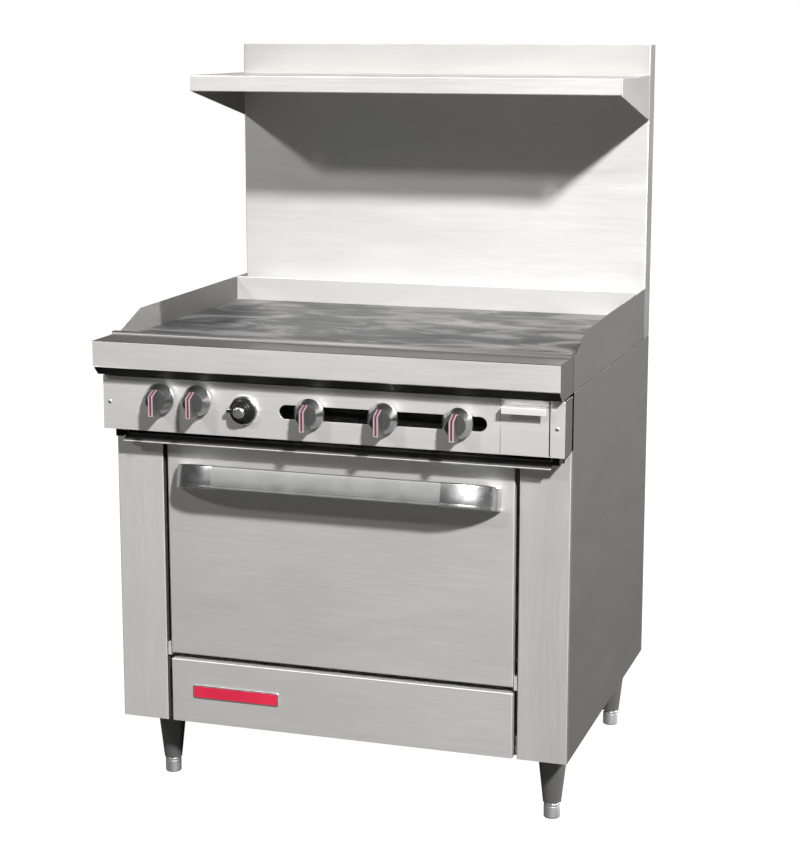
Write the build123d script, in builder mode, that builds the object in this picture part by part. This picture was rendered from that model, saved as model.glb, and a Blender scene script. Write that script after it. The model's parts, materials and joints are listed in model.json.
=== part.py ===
from build123d import *
import os

# A free-standing commercial gas range: a full-width griddle over a bottom-hinged oven, a control
# panel behind a front rail, a flue riser with a high shelf, and four legs with screw-out feet.
# Millimetres. X runs to the right, Y to the back and Z up. The origin is on the floor, at the
# centre of the footprint.

# ---------------------------------------------------------------- driving dimensions
WIDTH = 927.0
HALF_WIDTH = WIDTH / 2
SHEET = 1.5
GAP = 0.5

# Depths, from the front to the back.
RAIL_FRONT = -438.0
BEVEL_FRONT = -416.0
PANEL_FRONT = -396.0
LIP_FRONT = -352.0
BODY_FRONT = -338.0
DOOR_BACK = -303.0
FACE_FRAME = -300.0
SPLASH_VERTEX = -218.0
SHELF_FRONT = 52.0
BACK_SPLASH = 290.0
RISER_FRONT = 355.0
BODY_REAR = 410.0
PIPE_END = 448.0

# Heights above the floor.
BODY_BOTTOM = 156.0
FRAME_TOP = 196.0
KICK_TOP = 287.0
DOOR_BOTTOM = 299.0
HINGE_Z = 307.0
DECK_Z = 345.0
CAVITY_TOP = 701.0
DOOR_TOP = 733.0
STILE_NOTCH = 744.0
PANEL_BOTTOM = 766.0
PANEL_TOP = 872.0
SEAM_Z = 877.0
RAIL_BOTTOM = 896.0
GRIDDLE_TOP = 934.0
RAIL_TOP = 946.0
LIP_TOP = 952.0
SPLASH_TOP = 986.0
BRACKET_TIP = 1347.0
SHELF_UNDER = 1408.0
SHELF_TOP = 1442.0
TOP = 1505.0

# Oven and its door.
DOOR_HALF = 355.5
STILE_EDGE = 364.7
CAVITY_HALF = 330.0
CAVITY_REAR = 370.0
INSULATION_HALF = 385.0
INSULATION_TOP = 741.0
HINGE_Y = -328.0
PIN_R = 4.0
ARM_X = 345.0

# Controls on the panel.
SLOT_LEFT = -94.0
SLOT_RIGHT = 316.0
SLOT_Z = 820.6
SLOT_HEIGHT = 27.4
OVEN_KNOBS = {"thermostat_knob": (-339.0, 833.5), "oven_valve_knob": (-261.0, 833.5)}
GRIDDLE_KNOBS = {
    "griddle_knob_1": (-30.0, 822.0),
    "griddle_knob_2": (116.5, 822.0),
    "griddle_knob_3": (262.5, 822.0),
}
KNOB_R = 29.7
KNOB_GAP = 5.0
KNOB_SKIRT = 7.0
KNOB_FACE_R = 21.5
KNOB_FACE = 25.0
KNOB_DEPTH = 47.0
STEM_R = 4.0
RUNNING_GAP = 0.05
IGNITER_X = -166.0
IGNITER_Z = 819.5
PIPE_R = 13.35
PIPE_BORE = 10.5
THREAD_R = 13.1
THREAD_LENGTH = 22.0
PIPE_Y = -350.0
PIPE_Z = 820.6
SUPPLY_X = -444.0

# Grease drawer behind the right end of the panel, and the crumb tray under the panel.
DRAWER_LEFT = 341.8
DRAWER_RIGHT = 433.3
TRAY_HALF = 431.0
TRAY_FLOOR = 750.0

# Burner box under the griddle.
BOX_LEFT = -425.0
BOX_RIGHT = 335.0
BOX_FRONT = -328.0
BOX_REAR = 288.0
BURNER_Z = 850.0
BURNER_R = 12.0

# Legs.
LEG_X = 409.0
LEG_FRONT_Y = -222.0
LEG_REAR_Y = 342.0
LEG_TOP_R = 32.0
LEG_BOTTOM_R = 18.4
LEG_BOTTOM_Z = 32.0
FOOT_R = 16.5
FOOT_STEM_R = 8.0
LEG_CUFF = 4.0
LEG_RIM = 3.0
FOOT_EDGE_R = 2.0
FOOT_STEM_LENGTH = 80.0

os.makedirs("parts", exist_ok=True)


def block(x, y, z, mode=Mode.ADD):
    """Adds a box that fills the given limits to the part being built, or cuts it away."""
    centre = ((x[0] + x[1]) / 2, (y[0] + y[1]) / 2, (z[0] + z[1]) / 2)
    with Locations(centre):
        Box(x[1] - x[0], y[1] - y[0], z[1] - z[0], mode=mode)


def cut(x, y, z):
    """Cuts a box with the given limits out of the part being built."""
    block(x, y, z, Mode.SUBTRACT)


def rod(start, axis, radius, length, mode=Mode.ADD):
    """Adds a round bar from a start point along a direction, or drills it."""
    with Locations(Plane(origin=start, z_dir=axis)):
        Cylinder(radius, length, align=(Align.CENTER, Align.CENTER, Align.MIN), mode=mode)


def save(builder, name):
    """Labels a finished sub-part and writes its STEP file."""
    builder.part.label = name
    export_step(builder.part, f"parts/{name}.step")


ALONG_X = (1, 0, 0)
ALONG_Y = (0, 1, 0)
ALONG_Z = (0, 0, 1)
SIDES = {"left": -1, "right": 1}


def span(side, inner, outer):
    """X limits of a stretch between two distances from the middle, on the left or right side."""
    return tuple(sorted((side * inner, side * outer)))


# ---------------------------------------------------------------- base frame
FRAME_HALF = 460.0
FRAME_FRONT = -318.0
FRAME_REAR = 406.0
FRAME_BAR = 30.0
FRAME_SHEET = 2.0
CROSS_FRONT = (-280.0, -256.0)
CROSS_REAR = (300.0, 324.0)
PAD = 4.0
PAD_INNER = 369.0
PAD_HALF = 40.0

with BuildPart() as base_frame:
    block((-FRAME_HALF, FRAME_HALF), (FRAME_FRONT, FRAME_REAR), (BODY_BOTTOM, FRAME_TOP))
    inner_x = FRAME_HALF - FRAME_BAR
    inner_y = (FRAME_FRONT + FRAME_BAR, FRAME_REAR - FRAME_BAR)
    cut((-inner_x, inner_x), inner_y, (BODY_BOTTOM, FRAME_TOP))
    # The bars are channels that open inwards.
    web_x = FRAME_HALF - FRAME_SHEET
    web_y = (FRAME_FRONT + FRAME_SHEET, FRAME_REAR - FRAME_SHEET)
    cut((-web_x, web_x), web_y, (BODY_BOTTOM + FRAME_SHEET, FRAME_TOP - FRAME_SHEET))
    for cross in (CROSS_FRONT, CROSS_REAR):
        block((-inner_x, inner_x), cross, (FRAME_TOP - 2 * FRAME_SHEET, FRAME_TOP))
        wall = (cross[0], cross[0] + FRAME_SHEET)
        block((-web_x, web_x), wall, (BODY_BOTTOM, FRAME_TOP))
    for side in SIDES.values():
        for leg_y in (LEG_FRONT_Y, LEG_REAR_Y):
            pad_y = (leg_y - PAD_HALF, leg_y + PAD_HALF)
            block(span(side, PAD_INNER, web_x), pad_y, (BODY_BOTTOM, BODY_BOTTOM + PAD))
        front_pad = (CROSS_FRONT[0], LEG_FRONT_Y)
        block(span(side, PAD_INNER, web_x), front_pad, (BODY_BOTTOM, BODY_BOTTOM + PAD))
save(base_frame, "base_frame")

# ---------------------------------------------------------------- outer body panels
STILE_WRAP = 14.0
STILE_RETURN = 18.0
NOTCH_X = 450.5

for name, side in SIDES.items():
    with BuildPart() as stile:
        front = (BODY_FRONT, BODY_FRONT + SHEET)
        block(span(side, STILE_EDGE, NOTCH_X), front, (BODY_BOTTOM, STILE_NOTCH))
        block(span(side, NOTCH_X, HALF_WIDTH), front, (BODY_BOTTOM, PANEL_BOTTOM - GAP))
        wrap = (BODY_FRONT, BODY_FRONT + STILE_WRAP)
        block(span(side, HALF_WIDTH - SHEET, HALF_WIDTH), wrap, (BODY_BOTTOM, PANEL_BOTTOM - GAP))
        inner = (BODY_FRONT, BODY_FRONT + STILE_RETURN)
        block(span(side, STILE_EDGE, STILE_EDGE + SHEET), inner, (BODY_BOTTOM, STILE_NOTCH))
    save(stile, f"{name}_front_stile")

    with BuildPart() as side_panel:
        skin = span(side, HALF_WIDTH - SHEET, HALF_WIDTH)
        panel_y = (BODY_FRONT + STILE_WRAP + GAP, BODY_REAR)
        block(skin, panel_y, (BODY_BOTTOM, SEAM_Z - GAP))
        # A hem turned in at the front, below the tray.
        hem = span(side, HALF_WIDTH - 3 * SHEET, HALF_WIDTH - SHEET)
        block(hem, (panel_y[0], panel_y[0] + SHEET), (FRAME_TOP + GAP, STILE_NOTCH))
    save(side_panel, f"{name}_side_panel")

REAR_SHEET = (BODY_REAR - SHEET, BODY_REAR)
REAR_HALF = HALF_WIDTH - SHEET - GAP
LOUVRE = (420.0, 8.0)
LOUVRES = 5
LOUVRE_PITCH = 22.0
LOUVRE_Z = 330.0
with BuildPart() as rear_panel:
    block((-REAR_HALF, REAR_HALF), REAR_SHEET, (BODY_BOTTOM, SEAM_Z - GAP))
    with BuildSketch(Plane.XZ.offset(-BODY_REAR)):
        with Locations((SUPPLY_X, PIPE_Z)):
            Circle(PIPE_R + 2 * GAP)
        with Locations((0, LOUVRE_Z)):
            with GridLocations(0, LOUVRE_PITCH, 1, LOUVRES):
                SlotOverall(*LOUVRE)
    extrude(amount=2 * SHEET, mode=Mode.SUBTRACT)
save(rear_panel, "rear_panel")

# Upper side cheeks: the griddle's side splashes and the upper body sides in one sheet.
CHEEK_FRONT = -332.5
CHEEK_NOSE = (-311.0, 948.0)
VERTEX_Z = 981.0
CHEEK_SHEET = 2.0
for name, side in SIDES.items():
    with BuildPart() as cheek:
        x_outer = HALF_WIDTH if side > 0 else -HALF_WIDTH + CHEEK_SHEET
        with BuildSketch(Plane.YZ.offset(x_outer)):
            with BuildLine():
                Polyline(
                    (CHEEK_FRONT, SEAM_Z + GAP),
                    (CHEEK_FRONT, RAIL_TOP),
                    CHEEK_NOSE,
                    (SPLASH_VERTEX, VERTEX_Z),
                    (RISER_FRONT - GAP, SPLASH_TOP),
                    (RISER_FRONT - GAP, SEAM_Z + GAP),
                    close=True,
                )
            make_face()
        extrude(amount=-CHEEK_SHEET)
    save(cheek, f"{name}_cheek")

HEM = 10.0
HEM_DROP = 12.0
SPLASH_BOTTOM = 905.0
with BuildPart() as back_splash:
    splash_x = (-HALF_WIDTH + CHEEK_SHEET + GAP, HALF_WIDTH - CHEEK_SHEET - GAP)
    block(splash_x, (BACK_SPLASH, BACK_SPLASH + SHEET), (SPLASH_BOTTOM, SPLASH_TOP))
    block(splash_x, (BACK_SPLASH, BACK_SPLASH + HEM), (SPLASH_TOP - SHEET, SPLASH_TOP))
    back_hem = (BACK_SPLASH + HEM - SHEET, BACK_SPLASH + HEM)
    block(splash_x, back_hem, (SPLASH_TOP - HEM_DROP, SPLASH_TOP))
save(back_splash, "back_splash")

# ---------------------------------------------------------------- front rail
RAIL_SHEET = 2.0
RAIL_EDGE_R = 1.8
rail_outline = [
    (RAIL_FRONT, RAIL_BOTTOM),
    (RAIL_FRONT, RAIL_TOP),
    (LIP_FRONT, RAIL_TOP),
    (LIP_FRONT, LIP_TOP),
    (BODY_FRONT, LIP_TOP),
    (BODY_FRONT, SEAM_Z),
    (BEVEL_FRONT, SEAM_Z),
]
with BuildPart() as front_rail:
    with BuildSketch(Plane.YZ.offset(-HALF_WIDTH)):
        with BuildLine():
            Polyline(*rail_outline, close=True)
        make_face()
    extrude(amount=WIDTH)
    # Hollow between the two end caps, and open underneath for the underside strip.
    hollow_x = HALF_WIDTH - RAIL_SHEET
    under_rail = SEAM_Z - RAIL_SHEET
    with BuildSketch(Plane.YZ.offset(-hollow_x)):
        with BuildLine():
            Polyline(
                (RAIL_FRONT + RAIL_SHEET, under_rail),
                (RAIL_FRONT + RAIL_SHEET, RAIL_TOP - RAIL_SHEET),
                (LIP_FRONT + RAIL_SHEET, RAIL_TOP - RAIL_SHEET),
                (LIP_FRONT + RAIL_SHEET, LIP_TOP - RAIL_SHEET),
                (BODY_FRONT - RAIL_SHEET, LIP_TOP - RAIL_SHEET),
                (BODY_FRONT - RAIL_SHEET, under_rail),
                close=True,
            )
        make_face()
    extrude(amount=2 * hollow_x, mode=Mode.SUBTRACT)
    front_edges = front_rail.edges().filter_by(Axis.X).group_by(Axis.Y)[0]
    fillet(front_edges.sort_by(Axis.Z)[-1], radius=RAIL_EDGE_R)
save(front_rail, "front_rail")

STRIP_FRONT = RAIL_FRONT + RAIL_SHEET + 0.2
STRIP_BOTTOM = RAIL_BOTTOM + 0.3
STRIP_BEND = BEVEL_FRONT + 0.8
STRIP_REAR = BODY_FRONT - RAIL_SHEET - GAP
with BuildPart() as rail_underside:
    strip_x = hollow_x - GAP
    with BuildSketch(Plane.YZ.offset(-strip_x)):
        with BuildLine():
            Polyline(
                (STRIP_FRONT, STRIP_BOTTOM),
                (STRIP_BEND, SEAM_Z),
                (STRIP_REAR, SEAM_Z),
                (STRIP_REAR, SEAM_Z + SHEET),
                (STRIP_BEND + GAP, SEAM_Z + SHEET),
                (STRIP_FRONT, STRIP_BOTTOM + SHEET),
                close=True,
            )
        make_face()
    extrude(amount=2 * strip_x)
save(rail_underside, "rail_underside")

# ---------------------------------------------------------------- control panel
FLANGE_BACK = -345.0
PANEL_SKIN = (PANEL_FRONT, PANEL_FRONT + SHEET)
DRAWER_HOLE = (341.2, 435.3)
STEM_HOLE_R = 8.0
IGNITER_HOLE_R = 15.0
SCREW_X = 449.0
SCREW_Z = 820.0
SCREW_HOLE_R = 2.5
with BuildPart() as control_panel:
    block((-HALF_WIDTH, HALF_WIDTH), PANEL_SKIN, (PANEL_BOTTOM, PANEL_TOP))
    cut(DRAWER_HOLE, PANEL_SKIN, (PANEL_BOTTOM, PANEL_TOP))
    flange_y = (PANEL_FRONT + SHEET, FLANGE_BACK)
    for flange in ((PANEL_BOTTOM, PANEL_BOTTOM + SHEET), (PANEL_TOP - SHEET, PANEL_TOP)):
        block((-HALF_WIDTH, HALF_WIDTH), flange_y, flange)
    for side in SIDES.values():
        end_x = span(side, HALF_WIDTH - SHEET, HALF_WIDTH)
        block(end_x, (PANEL_FRONT, BODY_FRONT - GAP), (PANEL_BOTTOM, PANEL_TOP))
    with BuildSketch(Plane.XZ.offset(-PANEL_FRONT)):
        with Locations(*OVEN_KNOBS.values()):
            Circle(STEM_HOLE_R)
        with Locations((IGNITER_X, IGNITER_Z)):
            Circle(IGNITER_HOLE_R)
        with Locations(((SLOT_LEFT + SLOT_RIGHT) / 2, SLOT_Z)):
            SlotOverall(SLOT_RIGHT - SLOT_LEFT, SLOT_HEIGHT)
        with Locations((-SCREW_X, SCREW_Z), (SCREW_X, SCREW_Z)):
            Circle(SCREW_HOLE_R)
    extrude(amount=-2 * SHEET, mode=Mode.SUBTRACT)
save(control_panel, "control_panel")

# Screws: one at each end of the control panel, and eight round the rear panel.
HEAD_R = 4.2
HEAD_HEIGHT = 1.6
SHANK_R = 2.4
SHANK_LENGTH = 8.0
REAR_SCREWS_Z = 516.0
REAR_SCREW_PITCH = (880.0, 220.0)
with BuildPart() as cover_screws:
    for side in SIDES.values():
        rod((side * SCREW_X, PANEL_FRONT - HEAD_HEIGHT, SCREW_Z), ALONG_Y, HEAD_R, HEAD_HEIGHT)
        rod((side * SCREW_X, PANEL_FRONT, SCREW_Z), ALONG_Y, SHANK_R, SHANK_LENGTH)
    with Locations(Plane.XZ.offset(-BODY_REAR)):
        with Locations((0, REAR_SCREWS_Z)):
            with GridLocations(*REAR_SCREW_PITCH, 2, 4):
                Cylinder(HEAD_R, HEAD_HEIGHT, align=(Align.CENTER, Align.CENTER, Align.MAX))
save(cover_screws, "cover_screws")

# ---------------------------------------------------------------- griddle
GRIDDLE_THICK = 19.0
PLATE_FRONT = -300.0
PLATE_EDGE_R = 4.0
TROUGH_Y = (-336.0, -302.0)
TROUGH_Z = (900.0, 928.0)
CHUTE_X = 388.0
CHUTE_R = 14.0
CHUTE_BOTTOM = 866.0
TROUGH_SHEET = 2.0

with BuildPart() as griddle_plate:
    plate_x = HALF_WIDTH - CHEEK_SHEET - GAP
    plate_z = (GRIDDLE_TOP - GRIDDLE_THICK, GRIDDLE_TOP)
    block((-plate_x, plate_x), (PLATE_FRONT, BACK_SPLASH - GAP), plate_z)
    front_top = griddle_plate.edges().filter_by(Axis.X).group_by(Axis.Y)[0].sort_by(Axis.Z)[-1]
    fillet(front_top, radius=PLATE_EDGE_R)
save(griddle_plate, "griddle_plate")

with BuildPart() as grease_trough:
    block((-plate_x, plate_x), TROUGH_Y, TROUGH_Z)
    trough_inner_y = (TROUGH_Y[0] + TROUGH_SHEET, TROUGH_Y[1] - TROUGH_SHEET)
    trough_inner_x = plate_x - TROUGH_SHEET
    trough_floor = TROUGH_Z[0] + TROUGH_SHEET
    cut((-trough_inner_x, trough_inner_x), trough_inner_y, (trough_floor, TROUGH_Z[1]))
    trough_y = (TROUGH_Y[0] + TROUGH_Y[1]) / 2
    chute_start = (CHUTE_X, trough_y, CHUTE_BOTTOM)
    rod(chute_start, ALONG_Z, CHUTE_R, TROUGH_Z[0] - CHUTE_BOTTOM)
    chute_bore = CHUTE_R - TROUGH_SHEET
    rod(chute_start, ALONG_Z, chute_bore, TROUGH_Z[1] - CHUTE_BOTTOM, Mode.SUBTRACT)
save(grease_trough, "grease_trough")

BOX_SHEET = 2.0
BOX_BOTTOM = 768.0
BOX_TOP = 913.0
BOX_SLOPE_Z = 872.0
GAS_SILL = 888.0
PORT_GAP = 1.0
DRAWER_SHELF_RIGHT = 437.0
DRAWER_SHELF_Y = (-390.0, 190.0)
CARRIER_BARS = (-180.0, 200.0)
CARRIER_WIDTH = 20.0
CARRIER_THICK = 6.0
with BuildPart() as burner_box:
    block((BOX_LEFT, BOX_RIGHT), (BOX_FRONT, BOX_REAR), (BOX_BOTTOM, BOX_TOP))
    box_inner_x = (BOX_LEFT + BOX_SHEET, BOX_RIGHT - BOX_SHEET)
    cut(box_inner_x, (BOX_FRONT + BOX_SHEET, BOX_REAR - BOX_SHEET), (BOX_BOTTOM, BOX_TOP))
    # The rear wall is low, so that the burnt gases pass up behind the back splash.
    cut(box_inner_x, (BOX_REAR - BOX_SHEET, BOX_REAR), (GAS_SILL, BOX_TOP))
    # The walls slope up from the front, clear of the trough.
    with BuildSketch(Plane.YZ.offset(BOX_LEFT)):
        with BuildLine():
            slope_end = BOX_FRONT + BOX_TOP - BOX_SLOPE_Z
            Polyline(
                (BOX_FRONT, BOX_SLOPE_Z),
                (BOX_FRONT, BOX_TOP),
                (slope_end, BOX_TOP),
                close=True,
            )
        make_face()
    extrude(amount=BOX_RIGHT - BOX_LEFT, mode=Mode.SUBTRACT)
    for knob_x, _ in GRIDDLE_KNOBS.values():
        port = (knob_x, BOX_FRONT, BURNER_Z)
        rod(port, ALONG_Y, BURNER_R + PORT_GAP, BOX_SHEET, Mode.SUBTRACT)
    # A shelf on the right wall carries the grease drawer.
    shelf_right = (BOX_RIGHT - BOX_SHEET, DRAWER_SHELF_RIGHT)
    block(shelf_right, DRAWER_SHELF_Y, (BOX_BOTTOM, BOX_BOTTOM + BOX_SHEET))
    # Two bars across the box carry the burners.
    bar_z = (BURNER_Z - BURNER_R - CARRIER_THICK, BURNER_Z - BURNER_R - GAP)
    for bar_y in CARRIER_BARS:
        block((BOX_LEFT, BOX_RIGHT), (bar_y, bar_y + CARRIER_WIDTH), bar_z)
save(burner_box, "burner_box")

# Each burner is a mixing tube behind its valve, a cross tube, and two heads that run to the back.
BURNER_CENTRES = (-323.0, -60.0, 203.0)
HEAD_OFFSET = 60.0
CROSS_Y = (-290.0, -255.0, -220.0)
HEAD_END = 262.0
CROSS_HALF = 13.0
MIXER_START = BOX_FRONT - 8.0
with BuildPart() as griddle_burners:
    for (valve_x, _), centre, cross_y in zip(GRIDDLE_KNOBS.values(), BURNER_CENTRES, CROSS_Y):
        heads = (centre - HEAD_OFFSET, centre + HEAD_OFFSET)
        cross = (min(valve_x, *heads), max(valve_x, *heads))
        rod((valve_x, MIXER_START, BURNER_Z), ALONG_Y, BURNER_R, cross_y - MIXER_START)
        cross_x = (cross[0] - CROSS_HALF, cross[1] + CROSS_HALF)
        cross_z = (BURNER_Z - CROSS_HALF, BURNER_Z + CROSS_HALF)
        block(cross_x, (cross_y - CROSS_HALF, cross_y + CROSS_HALF), cross_z)
        for head_x in heads:
            rod((head_x, cross_y, BURNER_Z), ALONG_Y, BURNER_R, HEAD_END - cross_y)
save(griddle_burners, "griddle_burners")

# ---------------------------------------------------------------- gas train
VALVE_R = 12.0
VALVE_FRONT = -390.0
VALVE_BACK = -364.0
NIPPLE_R = 5.0
NIPPLE_LENGTH = 6.0
NIPPLE_HOLE = 9.0
BONNET_R = 8.5
BONNET_LENGTH = 8.0
STEM_BORE = 18.0
OUTLET_R = 6.0
OUTLET_Y = -374.0
OUTLET_RISE = 8.0
NOZZLE_Y = (-380.0, -340.0)
valve_points = [(x, PIPE_Z) for x, _ in GRIDDLE_KNOBS.values()]
oven_valve_x, oven_valve_z = OVEN_KNOBS["oven_valve_knob"]
MANIFOLD_RIGHT = 320.0
NIPPLE_Z = 826.0

ELBOW_HALF = 15.5
ELBOW_EDGE_R = 5.0
ELBOW_REACH = 30.0
END_WALL = 4.0
with BuildPart() as manifold_pipe:
    elbow_x = (SUPPLY_X - ELBOW_HALF, SUPPLY_X + ELBOW_HALF)
    elbow_y = (PIPE_Y - ELBOW_HALF, PIPE_Y + ELBOW_HALF)
    block(elbow_x, elbow_y, (PIPE_Z - ELBOW_HALF, PIPE_Z + ELBOW_HALF))
    fillet(manifold_pipe.edges(), radius=ELBOW_EDGE_R)
    rod((SUPPLY_X, PIPE_Y, PIPE_Z), ALONG_X, PIPE_R, MANIFOLD_RIGHT - SUPPLY_X)
    rod((SUPPLY_X, PIPE_Y, PIPE_Z), ALONG_Y, PIPE_R, ELBOW_REACH)
    bore_length = MANIFOLD_RIGHT - SUPPLY_X - END_WALL
    rod((SUPPLY_X, PIPE_Y, PIPE_Z), ALONG_X, PIPE_BORE, bore_length, Mode.SUBTRACT)
    rod((SUPPLY_X, PIPE_Y, PIPE_Z), ALONG_Y, PIPE_BORE - GAP, ELBOW_REACH, Mode.SUBTRACT)
    for x, z in valve_points + [(oven_valve_x, NIPPLE_Z)]:
        rod((x, VALVE_BACK, z), ALONG_Y, NIPPLE_R + RUNNING_GAP, NIPPLE_HOLE, Mode.SUBTRACT)
save(manifold_pipe, "manifold_pipe")


def valve(x, z, nipple_z):
    """One gas valve: body, a bonnet, the nipple into the manifold, and the bore for its stem."""
    body_start = VALVE_FRONT + BONNET_LENGTH
    rod((x, body_start, z), ALONG_Y, VALVE_R, VALVE_BACK - body_start)
    rod((x, VALVE_FRONT, z), ALONG_Y, BONNET_R, BONNET_LENGTH)
    rod((x, VALVE_BACK, nipple_z), ALONG_Y, NIPPLE_R, NIPPLE_LENGTH)
    rod((x, VALVE_FRONT, z), ALONG_Y, STEM_R + RUNNING_GAP, STEM_BORE, Mode.SUBTRACT)


TUBE_R = 4.0
TUBE_FRONT_Y = -372.0
TUBE_TOP = 812.0
UNION_NUT_R = 7.0
UNION_NUT_LENGTH = 12.0

# Three valves feed the griddle burners, and the fourth feeds the oven.
with BuildPart() as gas_valves:
    for (x, knob_z), (_, nipple_z) in zip(GRIDDLE_KNOBS.values(), valve_points):
        valve(x, knob_z, nipple_z)
        # The outlet rises over the manifold and points into the burner's mixing tube.
        outlet_z = knob_z + OUTLET_RISE
        rod((x, OUTLET_Y, outlet_z), ALONG_Z, OUTLET_R, BURNER_Z + OUTLET_R - outlet_z)
        rod((x, NOZZLE_Y[0], BURNER_Z), ALONG_Y, OUTLET_R, NOZZLE_Y[1] - NOZZLE_Y[0])
        rod((x, VALVE_FRONT, knob_z), ALONG_Y, STEM_R + RUNNING_GAP, STEM_BORE, Mode.SUBTRACT)
    valve(oven_valve_x, oven_valve_z, NIPPLE_Z)
    rod((oven_valve_x, TUBE_FRONT_Y, TUBE_TOP), ALONG_Z, UNION_NUT_R, UNION_NUT_LENGTH)
save(gas_valves, "gas_valves")

THERMOSTAT_HALF = 30.0
THERMOSTAT_Y = (-388.0, -366.0)
THERMOSTAT_Z = (808.0, 862.0)
THERMOSTAT_EDGE_R = 4.0
BUSH_R = 10.0
BUSH_LENGTH = 6.0

thermostat_x, thermostat_z = OVEN_KNOBS["thermostat_knob"]
with BuildPart() as oven_thermostat:
    case_x = (thermostat_x - THERMOSTAT_HALF, thermostat_x + THERMOSTAT_HALF)
    block(case_x, THERMOSTAT_Y, THERMOSTAT_Z)
    fillet(oven_thermostat.edges().filter_by(Axis.Y), radius=THERMOSTAT_EDGE_R)
    bush_start = (thermostat_x, VALVE_FRONT - 1, thermostat_z)
    rod(bush_start, ALONG_Y, BUSH_R, BUSH_LENGTH)
    rod(bush_start, ALONG_Y, STEM_R + RUNNING_GAP, STEM_BORE, Mode.SUBTRACT)
save(oven_thermostat, "oven_thermostat")

# The oven's gas tube runs along the back of the panel, down inside the left stile, and across
# behind the kick panel to the oven burner.
OVEN_BURNER_Z = 262.0
TUBE_X = -456.0
TUBE_Y = -312.0
TUBE_TURN_Z = 788.0
TUBE_BEND_R = 14.0
ORIFICE_Y = -296.0
with BuildPart() as oven_gas_tube:
    with BuildLine() as tube_route:
        FilletPolyline(
            (oven_valve_x, TUBE_FRONT_Y, TUBE_TOP - GAP),
            (oven_valve_x, TUBE_FRONT_Y, TUBE_TURN_Z),
            (TUBE_X, TUBE_FRONT_Y, TUBE_TURN_Z),
            (TUBE_X, TUBE_Y, TUBE_TURN_Z),
            (TUBE_X, TUBE_Y, OVEN_BURNER_Z),
            (0, TUBE_Y, OVEN_BURNER_Z),
            (0, ORIFICE_Y, OVEN_BURNER_Z),
            radius=TUBE_BEND_R,
        )
    with BuildSketch(Plane(origin=tube_route.line @ 0, z_dir=tube_route.line % 0)):
        Circle(TUBE_R)
    sweep()
save(oven_gas_tube, "oven_gas_tube")

UNION_Y = PIPE_Y + 34.0
UNION_R = 17.0
UNION_LENGTH = 20.0
with BuildPart() as gas_inlet_pipe:
    pipe_start = PIPE_Y + ELBOW_REACH + GAP
    rod((SUPPLY_X, pipe_start, PIPE_Z), ALONG_Y, PIPE_R, PIPE_END - THREAD_LENGTH - pipe_start)
    # The free end is threaded for a union or a flexible connector.
    rod((SUPPLY_X, pipe_start, PIPE_Z), ALONG_Y, THREAD_R, PIPE_END - pipe_start)
    rod((SUPPLY_X, PIPE_Y, PIPE_Z), ALONG_Y, PIPE_BORE, PIPE_END - PIPE_Y, Mode.SUBTRACT)
    # A hexagon union joins it to the manifold's elbow.
    with BuildSketch(Plane.XZ.offset(-UNION_Y)):
        with Locations((SUPPLY_X, PIPE_Z)):
            RegularPolygon(UNION_R, 6)
            Circle(PIPE_R, mode=Mode.SUBTRACT)
    extrude(amount=-UNION_LENGTH)
save(gas_inlet_pipe, "gas_inlet_pipe")

# ---------------------------------------------------------------- igniter
BEZEL_R = 29.0
BEZEL_FRONT = PANEL_FRONT - 7.0
COLLAR_R = 25.5
COLLAR_FRONT = PANEL_FRONT - 14.0
NOSE_R = 17.0
NOSE_FRONT = PANEL_FRONT - 26.0
BUTTON_R = 12.0
BUTTON_FRONT = PANEL_FRONT - 34.0
BUTTON_LENGTH = 26.0
IGNITER_BACK = PANEL_FRONT + 30.0
BEZEL_EDGE_R = 3.0
LUG_REACH = 4.0
LUG_HALF = 4.0
LUG_FRONT = COLLAR_FRONT - 6.0
PRESS_ROOM = 6.0
DOME_R = 6.0
with BuildPart() as igniter_bezel:
    # A chrome ring round a stepped black collar with a small lug at the left, and the body behind.
    rod((IGNITER_X, BEZEL_FRONT, IGNITER_Z), ALONG_Y, BEZEL_R, PANEL_FRONT - BEZEL_FRONT)
    front_rim = igniter_bezel.edges().filter_by(GeomType.CIRCLE).group_by(Axis.Y)[0]
    fillet(front_rim, radius=BEZEL_EDGE_R)
    rod((IGNITER_X, COLLAR_FRONT, IGNITER_Z), ALONG_Y, COLLAR_R, PANEL_FRONT - COLLAR_FRONT)
    rod((IGNITER_X, NOSE_FRONT, IGNITER_Z), ALONG_Y, NOSE_R, PANEL_FRONT - NOSE_FRONT)
    lug_x = (IGNITER_X - COLLAR_R - LUG_REACH, IGNITER_X)
    block(lug_x, (LUG_FRONT, BEZEL_FRONT), (IGNITER_Z - LUG_HALF, IGNITER_Z + LUG_HALF))
    rod((IGNITER_X, PANEL_FRONT, IGNITER_Z), ALONG_Y, IGNITER_HOLE_R - GAP, IGNITER_BACK - PANEL_FRONT)
    bore = (IGNITER_X, NOSE_FRONT, IGNITER_Z)
    rod(bore, ALONG_Y, BUTTON_R + RUNNING_GAP, BUTTON_LENGTH + PRESS_ROOM, Mode.SUBTRACT)
save(igniter_bezel, "igniter_bezel")

with BuildPart() as igniter_button:
    rod((IGNITER_X, BUTTON_FRONT, IGNITER_Z), ALONG_Y, BUTTON_R, BUTTON_LENGTH)
    dome_rim = igniter_button.edges().filter_by(GeomType.CIRCLE).group_by(Axis.Y)[0]
    fillet(dome_rim, radius=DOME_R)
save(igniter_button, "igniter_button")

# ---------------------------------------------------------------- knobs
GRIP_HALF = 5.4
GRIP_TAIL = 28.6
GRIP_BEND = 11.0
BOSS_R = 6.5
STEM_END = VALVE_FRONT + 16


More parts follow.
